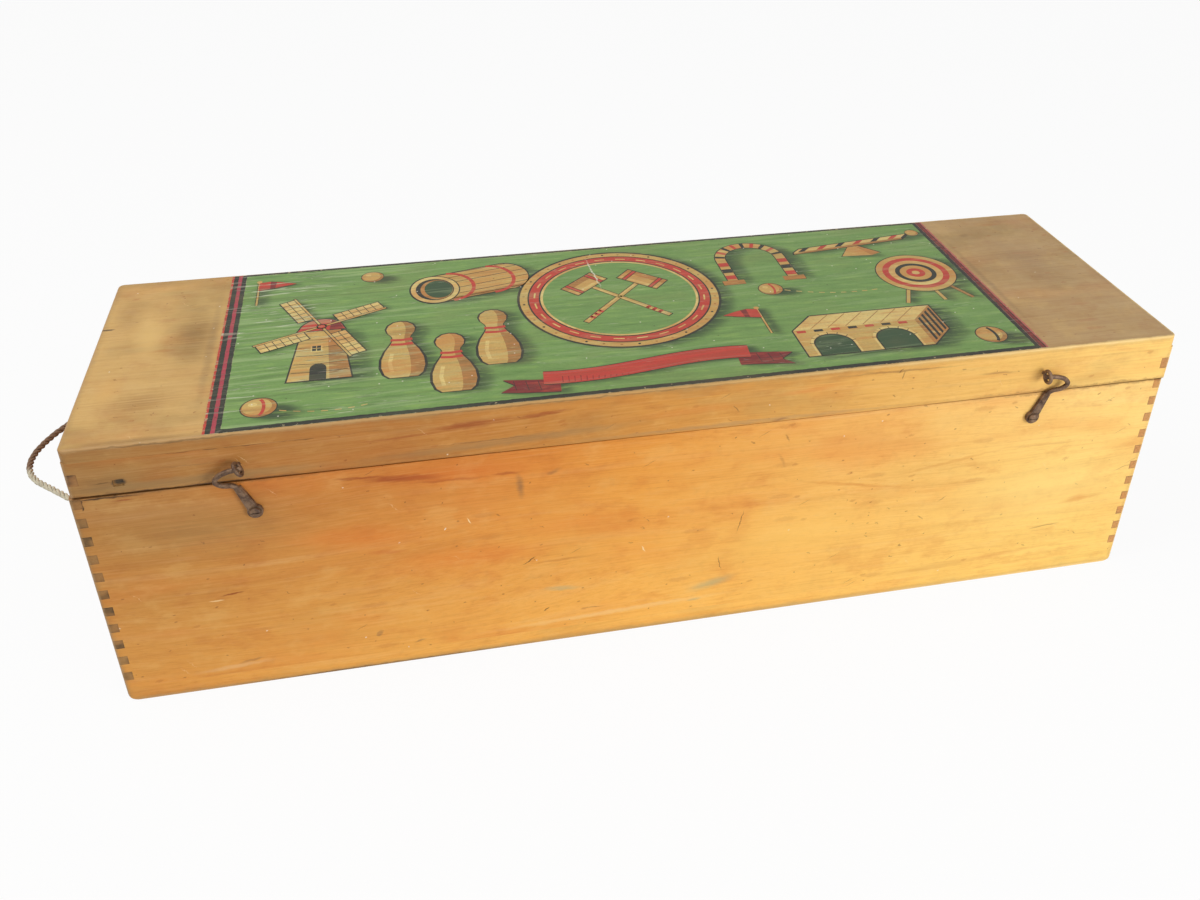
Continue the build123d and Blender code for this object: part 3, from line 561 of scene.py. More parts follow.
# Tones along X on the lid's front rail and the top board's front edge. Their brightening towards the right is
# partly the wood's own colour and partly painted light.
RAIL_TONE_AND_LIGHT = [(0.04, 0xB17E42), (0.27, 0xC0803C), (0.5, 0xD79644), (0.96, 0xF8CC72)]
RAIL_MARKS = on_front([
    (0x967C52, -330, 196, 120, 5.5, 0, 0.55, 0.7),
    (0x967C54, -120, 199, 130, 5, 2, 0.5, 0.8),
    (0x94421E, -140, 216.5, 44, 4.2, 3, 0.75, 0.8),
    (0x96401E, -90, 219, 26, 2.6, 4, 0.7, 0.8),
    (0xA05428, -190, 212, 40, 2, 2, 0.5, 0.9),
    (0x785432, -130, 201.5, 56, 0.8, 0, 0.45, 0.8),
    (0x805E3C, -388, 200, 26, 9, 0, 0.42, 1),
    (BLACK_LINE, -387, 200.9, 9.5, 1, 0, 0.6, 0.9),
    (0x3C362C, -376.5, 200.3, 5.6, 3.6, 0, 1, 0.5),
    (0x32281E, -330, 191.2, 84, 1, 0, 0.75, 0.6),
    (0x825C36, -332, 208, 26, 0.8, 0, 0.4, 0.8),
    (0xD88238, 110, 215, 34, 3.2, 4, 0.5, 0.9),
    (0xDC8236, 20, 208, 60, 6, 2, 0.4, 1),
    (0x803E20, 88, 192, 9, 1.5, 6, 0.65, 0.8),
    (0x6E4428, 53, 205.5, 4.6, 0.8, -62, 0.65, 0.7),
    (0x603A22, 183.6, 220, 4.5, 0.6, 82, 0.75, 0.6),
    (0x603A22, 181, 224, 3.4, 0.7, 35, 0.75, 0.6),
    (0x966234, 262, 212.6, 22, 2, -2, 0.6, 0.9),
    (0xD68C3E, 250, 210, 60, 4, -2, 0.3, 1),
    (0xC88C4C, 240, 205, 80, 2, -1, 0.3, 0.9),
    (DEEP_BROWN, -290, 219.4, 120, 0.7, 0, 0.65, 0.9),
    (0xB08C60, 60, 192.6, 170, 2.4, 0, 0.5, 0.7),
])
TOP_STOPS = [(0, 0xD8AE69), (0.2, 0xD0A666), (0.88, 0xC09B67), (1, 0xC09D6A)]

# Streaks and cracks of the front rail that go on over the top board's edge
SHARED_MARKS = RAIL_MARKS[2:5] + RAIL_MARKS[11:12] + RAIL_MARKS[15:17]
TOP_MARKS = SHARED_MARKS + on_front([
    (0x685434, -340, 228.4, 74, 0.9, 0, 0.7, 0.8),
    (0x705A38, -60, 228.2, 210, 0.8, 0, 0.5, 0.9),
    (0x5C3E26, 180, 223.5, 70, 1.5, -1, 0.5, 0.9),
]) + on_top([
    (0x3E3A2C, -150, 120.6, 190, 1.6, 0, 0.9, 0.3),
    (0x3E3A2C, 140, 120.6, 190, 1.6, 0, 0.9, 0.3),
    (BLACK_LINE, -405, 42, 7, 1.5, 0, 0.85, 0.5),
    (BLACK_LINE, -411, 105, 4, 1.3, 0, 0.7, 0.5),
    (0x8C6838, -338, 20, 22, 52, 0, 0.75, 1),
    (0x9E703A, -366, -70, 34, 24, 20, 0.6, 1),
    (0xA47842, -392, 66, 18, 40, 0, 0.5, 1),
    (0xECC67C, -372, 24, 16, 44, 8, 0.6, 1),
    (0xE6B060, -390, -50, 14, 26, 0, 0.4, 1),
    (0x82623C, -360, -117, 50, 4, 0, 0.5, 0.9),
    (0x967A56, 360, 20, 40, 80, 10, 0.4, 1),
    (0x8C6C48, 330, 84, 9, 5, 30, 0.5, 0.9),
    (0x82684A, -325, 0, 5, 118, 0, 0.35, 0.9),
    (0x7E6244, 308, 0, 4, 118, 0, 0.35, 0.9),
])


def dress_boards():
    case = {"shell": CASE, "fingers": CASE_FINGERS}
    lid = {"shell": LID, "fingers": LID_FINGERS}
    front = (FRONT_LOW_TONE_AND_LIGHT, FRONT_HIGH_TONE_AND_LIGHT)
    end = ([(0.0, 0xD89C58)] * 2, [(0.0, 0xC48C4E)] * 2)
    rail = (RAIL_TONE_AND_LIGHT, RAIL_TONE_AND_LIGHT)
    lid_end = (end[0], end[0])

    # The dark line and darker band along the foot, the last two marks of the front, go on over the bottom
    # board
    bottom = {"marks": FRONT_MARKS[-2:], "flat": "Z"}
    top = {"marks": TOP_MARKS, "cloudy": 0.45, "warmth": 0.13, "side_stops": RAIL_TONE_AND_LIGHT, "flat": "Z"}
    boards = (
        ("front_panel", "pine_front", "X", front, case, {"marks": FRONT_MARKS, "cloudy": 0.08}),
        ("back_panel", "pine_back", "X", front, case, {}),
        ("left_end_panel", "pine_left_end", "Y", end, case, {"end_tone": 0x765832, "cloudy": 0.4}),
        ("right_end_panel", "pine_right_end", "Y", end, case, {"end_tone": 0xCE945A, "cloudy": 0.3}),
        ("bottom_board", "pine_bottom", "X", (FRONT_LOW_TONE_AND_LIGHT,) * 2, case, bottom),
        ("lid_front_rail", "pine_lid_front", "X", rail, lid, {"marks": RAIL_MARKS, "cloudy": 0.3}),
        ("lid_back_rail", "pine_lid_back", "X", rail, lid, {"cloudy": 0.35}),
        ("lid_left_rail", "pine_lid_left", "Y", lid_end, lid, {"end_tone": 0x6C4A30}),
        ("lid_right_rail", "pine_lid_right", "Y", lid_end, lid, {"end_tone": 0xB88250}),
        ("lid_top_board", "pine_lid_top", "X", (TOP_STOPS,) * 2, lid, top),
    )
    for seed, (board, name, grain, stops, joints, look) in enumerate(boards, 1):
        look = {"flat": "X" if grain == "Y" else "Y", **look}
        give(wood(name, grain, *stops, seed=seed, **joints, **look), board)


# Iron

def iron(name, dark, light, rust):
    s = Surface(name)
    cloud = s.noise((5, 5, 5), 4.0, 0.65)
    crust = s.noise((1.7, 1.7, 1.7), 3.0, 0.7)
    pits = s.noise((0.7, 0.7, 0.7), 2.0, 0.6)
    s.set(Metallic=0.3)
    s.colour = s.mix(s.fade(cloud, 0.35, 0.68), dark, light)
    s.stain((crust, 0.5, 0.72, 0.8, rust))
    return s.finish(crust * 0.7 + pits * 0.3, 0.35)


def dress_iron():
    rusty = iron("rusty_iron", 0x483224, 0x866A50, 0x6C462C)
    plain = iron("hinge_iron", 0x524436, 0x6A5A4A, 0x684A34)
    for side in ("left", "right"):
        give(rusty, "hook_" + side, "hook_pivot_screw_" + side, "screw_eye_" + side)
        give(plain, "hinge_leaf_case_" + side, "hinge_leaf_lid_" + side, "hinge_pin_" + side)
    give(plain, "hinge_screws_case", "hinge_screws_lid", "bottom_nails")


# Rope

def link_mesh(name, mesh, material, body):
    mesh.materials.append(material)
    piece = link(name, mesh)
    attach(piece, body)
    return piece


def route_line(points):
    """The smooth line of the route, as its NURBS spline gives it, in millimetres."""
    curve = bpy.data.curves.new("route", "CURVE")
    curve.dimensions = "3D"
    spline = curve.splines.new("NURBS")
    spline.points.add(len(points) - 1)
    for point, place in zip(spline.points, points):
        point.co = (*[v * MM for v in place], 1.0)
    spline.order_u = 3
    spline.use_endpoint_u = True
    spline.resolution_u = 24
    holder = link("route", curve)
    mesh = bpy.data.meshes.new_from_object(holder)
    line = np.array([v.co for v in mesh.vertices], float) / MM
    bpy.data.objects.remove(holder)
    bpy.data.meshes.remove(mesh)
    bpy.data.curves.remove(curve)
    return line


def line_reach(line):
    """How far along the line each of its points is."""
    return np.concatenate([[0.0], np.cumsum(np.linalg.norm(np.diff(line, axis=0), axis=1))])


def even_steps(line, step):
    reach = line_reach(line)
    wanted = np.linspace(0.0, reach[-1], max(2, round(reach[-1] / step) + 1))
    return np.stack([np.interp(wanted, reach, line[:, i]) for i in range(3)], axis=1), wanted


def frames_along(line):
    """Two directions across the line at each point, carried along without twist."""
    tangents = np.gradient(line, axis=0)
    tangents /= np.linalg.norm(tangents, axis=1)[:, None]
    across = np.cross(tangents[0], (0.0, 0.0, 1.0))
    carried = []
    for tangent in tangents:
        across = across - tangent * (across @ tangent)
        across /= np.linalg.norm(across)
        carried.append(across)
    return np.array(carried), np.cross(tangents, carried)


def laid_rope(name, line):
    """The strands twisted round the line, swelling and thinning a little along it."""
    line, reach = even_steps(line, STRAND_STEP)
    sides = range(STRAND_SIDES)
    vertices, faces, uvs, outs = [], [], [], []

    def circled(middle, radius, turn):
        """Each point of a line, moved out by radius at that turn round the line."""
        across, over = frames_along(middle)
        return middle + radius * (np.cos(turn) * across + np.sin(turn) * over)

    for strand in range(STRANDS):
        centre = circled(line, STRAND_OUT, 2 * math.pi * (reach / ROPE_LAY + strand / STRANDS)[:, None])
        swell = STRAND_R * (1 + SWELL * np.sin(reach * 0.9 + strand * 2.1))[:, None]
        tube = np.stack([circled(centre, swell, 2 * math.pi * side / STRAND_SIDES) for side in sides], axis=1)
        first = len(vertices)
        last = first + (len(centre) - 1) * STRAND_SIDES
        vertices.extend(tube.reshape(-1, 3) * MM)
        outs.extend((np.linalg.norm(tube - line[:, None], axis=2) / ROPE_R).ravel())
        uvs.extend((along / 10, side / STRAND_SIDES) for along in reach for side in sides)
        for ring in range(first, last, STRAND_SIDES):
            for side in sides:
                here, beside = ring + side, ring + (side + 1) % STRAND_SIDES
                faces.append((here, beside, beside + STRAND_SIDES, here + STRAND_SIDES))
        faces.append([first + side for side in reversed(sides)])
        faces.append([last + side for side in sides])
    mesh = bpy.data.meshes.new(name)
    mesh.from_pydata(vertices, [], faces)
    mesh.shade_smooth()
    mesh.attributes.new("out", "FLOAT", "POINT").data.foreach_set("value", outs)
    layer = mesh.uv_layers.new(name="along")
    for loop in mesh.loops:
        layer.data[loop.index].uv = uvs[loop.vertex_index]
    return mesh


def rope_material():
    """Fibres along the strands, painted shade in the grooves between them, and darker towards the back."""
    s = Surface("old_rope", 0.85)
    towards_back = s.fade(s.y + (s.noise((14, 14, 14), 2.0) - 0.5) * 40.0, -34, -10)
    cloud = s.noise((3, 3, 3), 3.0, 0.7)
    twisted = s.add("Mapping", {"Vector": s.uv, "Scale": (26, 34, 1), "Rotation": (0, 0, 0.5)}).outputs[0]
    fibres = s.number("TexNoise", {"Vector": twisted, "Scale": 1.0, "Detail": 3.0})
    out = s.number("Attribute", {}, "Fac", attribute_name="out")
    s.colour = s.mix(towards_back, 0xDED6BC, 0x886A54)
    s.stain(
        (cloud, 0.45, 0.75, 0.5, 0x765E46),
        (fibres, 0.5, 0.75, 0.45, 0x604E3A),
        (fibres, 0.45, 0.25, 0.5, 0xE8E0CA),
        # The last stain is painted shade in the grooves between the strands, where out is small
        (out, 0.84, 0.6, 0.85, 0x463628),
    )
    return s.finish(fibres, 0.12)


def knot_line(y):
    """Through the end panel, round a small overhand knot and out to a tail."""
    outer, _, z = ROPE_ROUTE[0]
    inner = outer + WALL
    points = [(outer, y, z), (inner - 2, y, z)]
    for i in range(KNOT_POINTS):
        t = KNOT_START + 2 * math.pi * i / (KNOT_POINTS - 1) * KNOT_SHARE
        points.append((
            inner + KNOT_IN + KNOT_ALONG * (math.cos(t) - 2 * math.cos(2 * t)),
            y + KNOT_ACROSS * (math.sin(t) + 2 * math.sin(2 * t)),
            z - KNOT_RISE * math.sin(3 * t),
        ))
    return np.array(points + [(inner + 14, y, z - 1), (inner + 20.5, y + 1, z - 2)], float)


def make_rope():
    material = rope_material()
    line = route_line(ROPE_ROUTE)
    for node, route in (
        ("rope_handle", line),
        ("rope_knot_front", route_line(knot_line(ROPE_ROUTE[0][1]))),
        ("rope_knot_back", route_line(knot_line(ROPE_ROUTE[-1][1]))),
    ):
        mesh = laid_rope(node + "_laid", route)
        link_mesh(node + "_laid", mesh, material, "case")
        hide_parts(node)


# Game pieces in the case

BARE_PIECES = (
    "house_front_wall", "house_back_wall", "bridge_front_board", "bridge_back_board", "castle_wall",
    "castle_feet", "gate_posts", "gate_feet", "tunnel_end_boards", "stick_1", "stick_2",
)

# Each paint's own tone, its deeper tone and its pieces
PAINTS = {
    "red": (0xB03426, 0x86221A, ("house_roof_left", "house_roof_right", "gate_lintel", "ball_red")),
    "green": (0x487A46, 0x305C34, ("bridge_deck", "ramp_deck", "ball_green")),
    "blue": (0x3A5C8C, 0x28426C, ("tunnel_staves", "ball_blue")),
    "yellow": (0xDCAC46, 0xBA8832, ("ramp_sides", "ball_yellow")),
}


def game_wood():
    s = Surface("game_wood", 0.6)
    streaks = s.noise((90, 1.4, 1.4), 3.0, 0.65)
    blotch = s.noise((40, 40, 40), 3.0, 0.6)
    s.colour = s.mix(s.fade(streaks, 0.35, 0.7), 0xD6B07A, 0xB28452)
    s.stain((blotch, 0.5, 0.75, 0.5, 0x96744C))
    return s.finish(streaks, 0.2)


def paint(name, colour, deep):
    s = Surface(name, 0.45)
    cloud = s.noise((60, 40, 40), 3.0, 0.6)
    bare = s.fade(s.noise((9, 9, 9), 4.0, 0.75), 0.70, 0.73)
    s.colour = colour
    s.stain((cloud, 0.35, 0.7, 0.7, deep))
    s.tint(bare, 0xC49862)
    return s.finish(s.noise((60, 1.2, 1.2), 2.0) * 0.5 - bare, 0.18)


def dress_game():
    give(game_wood(), *BARE_PIECES)
    for name, (colour, deep, pieces) in PAINTS.items():
        give(paint(name + "_paint", colour, deep), *pieces)


# Label print

INKS = {
    "paper": 0xC8B88E,
    "green": 0x7A9C56,
    "tan": 0xD2AE64,
    "tan_light": 0xEACE82,
    "tan_dark": 0xA67640,
    "red": 0xC44438,
    "red_dark": 0x7C2828,
    "pink": 0xBE645A,
    "crimson": 0xB0424E,
    "black": 0x28271F,
    "green_dark": 0x384E32,
}
BORDER_INKS = ("black", "crimson", "red_dark", "pink")
FOLD_PAINTED_LIGHT = 0xBCCE98
RUBBED_PAPER = 0xC4B48A


def ink(name):
    """Old print in one ink, clouded, puckered, creased, scuffed and worn at the label's rim."""
    s = Surface("print_" + name, 0.55)
    s.set(Specular_IOR_Level=0.3)
    grain = s.noise((1.6, 1.6, 1.6), 3.0, 0.7)
    cloud = s.noise((70, 46, 46), 3.0, 0.6)
    brush = s.noise((30, 4.5, 10), 4.0, 0.7, turn=(0, 0, -3))
    s.colour = INKS[name]
    s.stain((grain, 0.4, 0.75, 0.18, 0x464C30))
    if name == "green":
        s.stain((cloud, 0.4, 0.75, 0.35, 0x688850))
        s.tint(s.number("Attribute", {}, "Fac", attribute_name="shade") * 0.9, 0x283224)
        s.stain((brush, 0.5, 0.68, 0.5, 0x96B65E), (brush, 0.46, 0.3, 0.55, 0x58803A))
    if name.startswith("tan"):
        s.stain(
            (cloud, 0.42, 0.66, 0.6, 0xC68446),
            (brush, 0.48, 0.66, 0.6, 0xCE8C4E),
            (brush, 0.46, 0.32, 0.5, 0xECD28C),
        )
    if name.startswith("red"):
        s.stain((brush, 0.5, 0.68, 0.4, 0xD86048))
    s.stain((cloud, 0.5, 0.3, 0.14, 0x96845C))

    # Paper that has puckered along its length, more at the left, with painted light and painted shade on the
    # two sides of its folds
    is_border = name in BORDER_INKS
    strong = s.fade(s.x, -60, -260, 0.45, 1.0)
    folds = s.noise((96, 5.6, 30), 2.0, 0.6, turn=(0, 0, 2))
    fold_light, deep = (0.05, 0.1) if is_border else (0.3, 0.3)
    # Painted light on one side of the folds and painted shade on the other
    s.tint(s.fade(folds, 0.54, 0.66, 0.0, fold_light) * strong, FOLD_PAINTED_LIGHT)
    s.tint(s.fade(folds, 0.46, 0.34, 0.0, deep) * strong, 0x425432)
    ridge = s.fade(abs(folds - 0.56), 0.012, 0.0)
    breaks = s.fade(s.noise((32, 7, 20), 2.0), 0.48, 0.58)
    ripple = s.math("SINE", s.y * 0.72 + folds * 14.0)
    ripples = s.fade(ripple, 0.86, 1.0) * breaks * s.fade(s.x, -196, -286)
    creases = s.most(ridge * breaks * strong, ripples)
    s.tint(creases * 0.75, 0x9E9684 if is_border else 0xCED8B0)
    crack = s.patch((-18, 72, LID_TOP), (1.1, 38, 6), (0, 0, 4), 0.5, s.shaken((7, 7, 7), 4.0, 2.0))
    s.tint(crack * s.fade(grain, 0.35, 0.5), 0xE2DEC6)

    # Scuffs, specks and worn rim
    s.tint(s.fade(s.noise((4.2, 2.4, 4), 4.0, 0.8), 0.68, 0.76) * 0.5, 0xD6CCA8)
    s.tint(s.flecks((17, 17), 0.045, 0.14) * 0.9, 0xECE6D2)
    s.tint(s.flecks((23, 23), 0.035, 0.12, 9) * 0.7, 0x463E2C)
    rim = s.least(s.least(s.x - LABEL_X[0], LABEL_X[1] - s.x), s.least(s.y - LABEL_Y[0], LABEL_Y[1] - s.y))
    chips = s.fade(s.noise((5, 5, 5), 2.0, 0.6, shift=(31, 7, 0)), 0.6, 0.72, 0.0, 3.0)
    s.stain((rim - chips + (grain - 0.5) * 5.0, 0.4, -0.6, 0.8, RUBBED_PAPER))
    return s.finish(grain * 0.15 + (folds * strong + creases), 0.5)


class Print:
    """Flat printed shapes, collected by ink and built as thin plates on the paper."""

    def __init__(self):
        self.plates = {}
        self.shadows = []

    def build(self):
        for name, plates in self.plates.items():
            mesh = bpy.data.meshes.new("label_" + name)
            shapes = bmesh.new()
            for points, level in plates:
                if area(points) < 0:
                    points = points[::-1]
                low_z, top_z = PAPER_TOP - INK_STEP, PAPER_TOP + INK_STEP * (level + 1)
                low = [shapes.verts.new((x * MM, y * MM, low_z * MM)) for x, y in points]
                top = [shapes.verts.new((x * MM, y * MM, top_z * MM)) for x, y in points]
                shapes.faces.new(top)
                shapes.faces.new(low[::-1])
                for i in range(len(points)):
                    shapes.faces.new((low[i - 1], low[i], top[i], top[i - 1]))
            shapes.normal_update()
            bmesh.ops.triangulate(shapes, faces=[f for f in shapes.faces if len(f.verts) > 4])
            shapes.to_mesh(mesh)
            shapes.free()
            link_mesh("label_" + name, mesh, ink(name), "lid")


class Pen:
    """Prints shapes and casts shadows in a motif's own coordinates. A higher level lies on top."""

    def __init__(self, sheet, x=0.0, y=0.0, scale=1.0, turn=0.0, flip=1):
        self.sheet = sheet
        self.place = (x, y)
        self.scale = scale
        self.turn = turn
        self.flip = flip

    def at(self, points):
        (x, y), angle = self.place, math.radians(self.turn)
        cos, sin = math.cos(angle) * self.scale, math.sin(angle) * self.scale
        points = [(self.flip * px, py) for px, py in points]
        return [(x + px * cos - py * sin, y + px * sin + py * cos) for px, py in points]

    def fill(self, name, level, points):
        self.sheet.plates.setdefault(name, []).append((self.at(points), level))

    def line(self, name, level, wide, *points):
        self.fill(name, level, stroke(points, wide))

    def cast(self, reach, points):
        self.sheet.shadows.append((self.at(points), reach))

    def solid(self, name, level, reach, points, rim):
        """A shape with its shadow, over a black rim."""
        self.cast(reach, points)
        self.fill("black", level - 1, rim)
        self.fill(name, level, points)


def area(points):
    return sum(x0 * y1 - x1 * y0 for (x0, y0), (x1, y1) in zip(points, points[1:] + points[:1])) / 2


def oval(cx, cy, rx, ry=None, start=0.0, end=360.0, count=40):
    ry = rx if ry is None else ry
    steps = count if end - start == 360.0 else count + 1
    angles = [math.radians(start + (end - start) * i / count) for i in range(steps)]
    return [(cx + rx * math.cos(a), cy + ry * math.sin(a)) for a in angles]


def box(x0, y0, x1, y1):
    return [(x0, y0), (x1, y0), (x1, y1), (x0, y1)]


def doorway(cx, half, spring, rise, count):
    """An opening on the line y = 0, round from the height spring up."""
    return [(cx - half, 0), (cx + half, 0)] + oval(cx, spring, half, rise, 0, 180, count)


def grown(points, cx, cy, by_x, by_y):
    return [(cx + (px - cx) * by_x, cy + (py - cy) * by_y) for px, py in points]


def stroke(points, wide, wide_end=None):
    """The outline of a line drawn through the points, wide at its start and wide_end at its end."""
    wide_end = wide if wide_end is None else wide_end
    left, right = [], []
    last = len(points) - 1
    for i, (x, y) in enumerate(points):
        (ax, ay), (bx, by) = points[max(0, i - 1)], points[min(last, i + 1)]
        run = math.hypot(bx - ax, by - ay)
        nx, ny = (ay - by) / run, (bx - ax) / run
        half = (wide + (wide_end - wide) * i / last) / 2
        left.append((x + nx * half, y + ny * half))
        right.append((x - nx * half, y - ny * half))
    return left + right[::-1]


def ragged_strip(x0, y0, x1, y1, rough, step=2.5):
    """A straight strip of print whose edges wander by up to rough."""
    corners = box(x0, y0, x1, y1)
    points = []
    for (ax, ay), (bx, by) in zip(corners, corners[1:] + corners[:1]):
        run = math.hypot(bx - ax, by - ay)
        dx, dy = (bx - ax) / run, (by - ay) / run
        count = max(1, round(run / step))
        for i in range(count):
            along, inward = run * i / count, random.uniform(0, rough)
            points.append((ax + dx * along - dy * inward, ay + dy * along + dx * inward))
    return points


def draw_borders(pen):
    (left, right), (low, high) = LABEL_X, LABEL_Y
    pen.fill("paper", 0, ragged_strip(left, low, right, high, 0.5))
    for name, level, x, wide in (
        ("black", 1, left + 1.5, 10.6), ("red", 2, left, 2.0), ("crimson", 2, left + 5.4, 3.2),
        ("black", 1, right - 10.2, 10.0), ("pink", 2, right - 2.3, 2.2), ("red_dark", 2, right - 5.6, 2.8),
        ("pink", 2, right - 6.7, 0.7),
    ):
        pen.fill(name, level, ragged_strip(x, low + 0.6, x + wide, high - 0.6, 0.35))
    for y0, y1, rough in ((low + 0.1, GREEN_Y[0] + 0.9, 0.5), (GREEN_Y[1], high, 0.4)):
        pen.fill("black", 2, ragged_strip(GREEN_X[0] - 1, y0, GREEN_X[1] + 1, y1, rough))


def draw_ball(pen, band=None):
    """A ball whose radius is the pen's scale."""
    pen.cast(0.9 * pen.scale, oval(0.5, -0.45, 1.15, 0.8))
    pen.fill("black", 1, oval(0, 0, 1.07))
    pen.fill("tan_dark", 2, oval(0, 0, 1.0))
    pen.fill("tan", 3, oval(-0.1, 0.1, 0.84))
    if band:
        pen.line(band, 4, 0.2, *oval(-0.06, 0, 0.34, 0.9, -72, 72, 12))
    pen.fill("tan_light", 4, oval(-0.36, 0.36, 0.26, 0.2))


def draw_skittle(pen):
    """A skittle whose height is the pen's scale."""
    half = [
        (0.12, 0.0), (0.165, 0.06), (0.19, 0.18), (0.185, 0.32), (0.15, 0.46), (0.1, 0.58), (0.075, 0.66),
        (0.085, 0.72), (0.12, 0.79), (0.13, 0.86), (0.11, 0.93), (0.06, 0.985), (0.0, 1.0),
    ]
    back = half[-2::-1]
    outline = half + [(-r, h) for r, h in back]
    pen.solid("tan", 2, 12.0, outline, grown(outline, 0, 0.4, 1.1275, 1.025))
    pen.fill("tan_dark", 3, half + [(r * 0.35, h) for r, h in back])
    pen.line("tan_light", 3, 0.035, (-0.1, 0.1), (-0.115, 0.25), (-0.09, 0.42))
    for low, top in ((0.56, 0.6), (0.64, 0.68)):
        band = [(-0.1, low), (0, low - 0.012), (0.1, low), (0.095, top), (0, top - 0.012), (-0.095, top)]
        pen.fill("red", 4, band)


def draw_hoop(pen):
    outer, thick, rise = 31, 8.68, 39
    middle = outer - thick / 2

    def arch(grow):
        inner = outer - thick - grow
        over = oval(0, rise, outer + grow, start=180, end=0, count=24)
        under = oval(0, rise, inner, start=0, end=180, count=24)
        return [(-outer - grow, -grow), *over, (outer + grow, -grow), (inner, -grow), *under, (-inner, -grow)]

    pen.solid("tan", 2, 14.0, arch(0), arch(0.9))
    for i in range(9):
        band = oval(0, rise, middle, start=10.4 + 19 * i, end=17.6 + 19 * i, count=4)
        pen.line("red" if i % 2 else "black", 3, thick * 0.98, *band)
    for x in (-middle, middle):
        for i in range(3):
            low = 3 + i * rise / 3.2
            band = box(x - thick * 0.49, low, x + thick * 0.49, low + thick * 0.8)
            pen.fill("black" if i % 2 else "red", 3, band)
        foot = box(x - thick * 1.1, -thick * 0.8, x + thick * 1.1, 0.6)
        pen.fill("black", 3, [(px * 1.01, py - 0.4) for px, py in foot])
        pen.fill("tan_dark", 4, foot)


def draw_windmill(pen):
    body = [(-19, 0), (19, 0), (12, 62), (-12, 62)]
    cap = [(-15, 61), (15, 61)] + oval(0, 61, 14, 15, 0, 180, 16)[1:-1]
    pen.solid("tan", 2, 18.0, body, [(-20.2, -1.2), (20.2, -1.2), (12.8, 63), (-12.8, 63)])
    pen.fill("tan_dark", 3, [(6, 0), (19, 0), (12, 62), (4, 62)])
    for h in range(10, 60, 10):
        half = 18 - 7 * h / 62
        pen.line("black", 4, 0.45, (-half, h), (0, h - 1.4), (half, h))
    pen.fill("black", 4, grown(cap, 0, 67, 1.08, 1.1))
    pen.fill("red", 5, cap)
    pen.fill("red_dark", 6, [(5, 61), (14.4, 61)] + oval(0, 61, 13.6, 14.6, 4, 62, 8))
    pen.fill("black", 5, doorway(-1, 5, 13, 6, 10))
    pen.fill("tan_light", 5, box(-6, 34, 1, 42))
    pen.fill("black", 6, box(-5.2, 34.8, 0.2, 41.2))
    pen.line("tan_light", 7, 0.5, (-2.5, 34.8), (-2.5, 41.2))
    pen.line("tan_light", 7, 0.5, (-5.2, 38), (0.2, 38))
    hub = pen.at([(0, 66)])[0]
    for quarter in range(4):
        arm = Pen(pen.sheet, *hub, pen.scale, pen.turn + 24 + 90 * quarter)
        arm.cast(6.0, box(4, -1, 44, 10))
        arm.fill("black", 7, box(12, 0.4, 45, 11.4))
        arm.fill("tan_light", 8, box(12.8, 1.2, 44.2, 10.6))
        for i in range(1, 6):
            arm.line("black", 9, 0.5, (12.8 + i * 5.2, 1.2), (12.8 + i * 5.2, 10.6))
        arm.line("black", 9, 0.5, (12.8, 6), (44.2, 6))
        arm.line("black", 9, 2.4, (0, 0), (46, 0))
        arm.line("tan", 10, 1.4, (0, 0), (45.4, 0))
    pen.fill("black", 10, oval(0, 66, 3.4, count=18))
    pen.fill("red", 11, oval(0, 66, 2.3, count=18))


def draw_bridge(pen):
    """A two-arch block seen from above its left corner."""
    outline = [(-50, 0), (38, 0), (56, 18), (56, 52), (-32, 52), (-50, 34)]
    pen.cast(16.0, outline)
    pen.fill("black", 1, grown(outline, 3, 26, 1.02, 1.04))
    pen.fill("tan", 2, box(-50, 0, 38, 34))
    pen.fill("tan_light", 2, [(-50, 34), (38, 34), (56, 52), (-32, 52)])
    pen.fill("tan_dark", 2, [(38, 0), (56, 18), (56, 52), (38, 34)])
    for cx in (-28, 16):
        hole = doorway(cx, 13, 12, 13, 18)
        pen.fill("tan_light", 3, grown(hole, cx, 0, 1.2, 1.14))
        pen.fill("black", 4, grown(hole, cx, 0, 1.07, 1.05))
        pen.fill("green_dark", 5, hole)
        for joint in zip(*[oval(cx, 12, r, start=15, end=165, count=6) for r in (13.8, 16.8)]):
            pen.line("black", 4, 0.5, *joint)
    for i in range(7):
        pen.fill("black" if i % 2 else "red", 3, box(-48 + i * 12.2, 30.4, -41.6 + i * 12.2, 33.4))
    for i in range(0, 16, 4):
        pen.fill("black", 3, [(41 + i, 5 + i), (43 + i, 7 + i), (43 + i, 37 + i), (41 + i, 35 + i)])
    for i in range(1, 7):
        pen.line("tan_dark", 3, 0.6, (-50 + i * 12.6, 34.5), (-32 + i * 12.6, 51.5))


def draw_rings(pen, r, level, count, rings):
    for share, name in rings:
        pen.fill(name, level, oval(0, 0, r * share, count=count))
        level += 1


def draw_target(pen, r):
    for sign in (-1, 0.15, 1):
        leg = [(sign * r * 0.2, 0), (sign * r * 0.85, -r * 1.5)]
        pen.cast(8.0, stroke(leg, 3.0))
        pen.line("black", 1, 4.2, *leg)
        pen.line("tan" if sign < 0.5 else "tan_dark", 2, 3.0, *leg)
    pen.cast(14.0, oval(0, 0, r))
    pen.fill("black", 3, oval(0, 0, r + 0.9, count=56))
    draw_rings(pen, r, 4, 56, (
        (1, "tan"), (0.84, "red"), (0.68, "tan_light"), (0.52, "black"), (0.4, "tan"), (0.24, "red"),
        (0.1, "tan_light"),
    ))


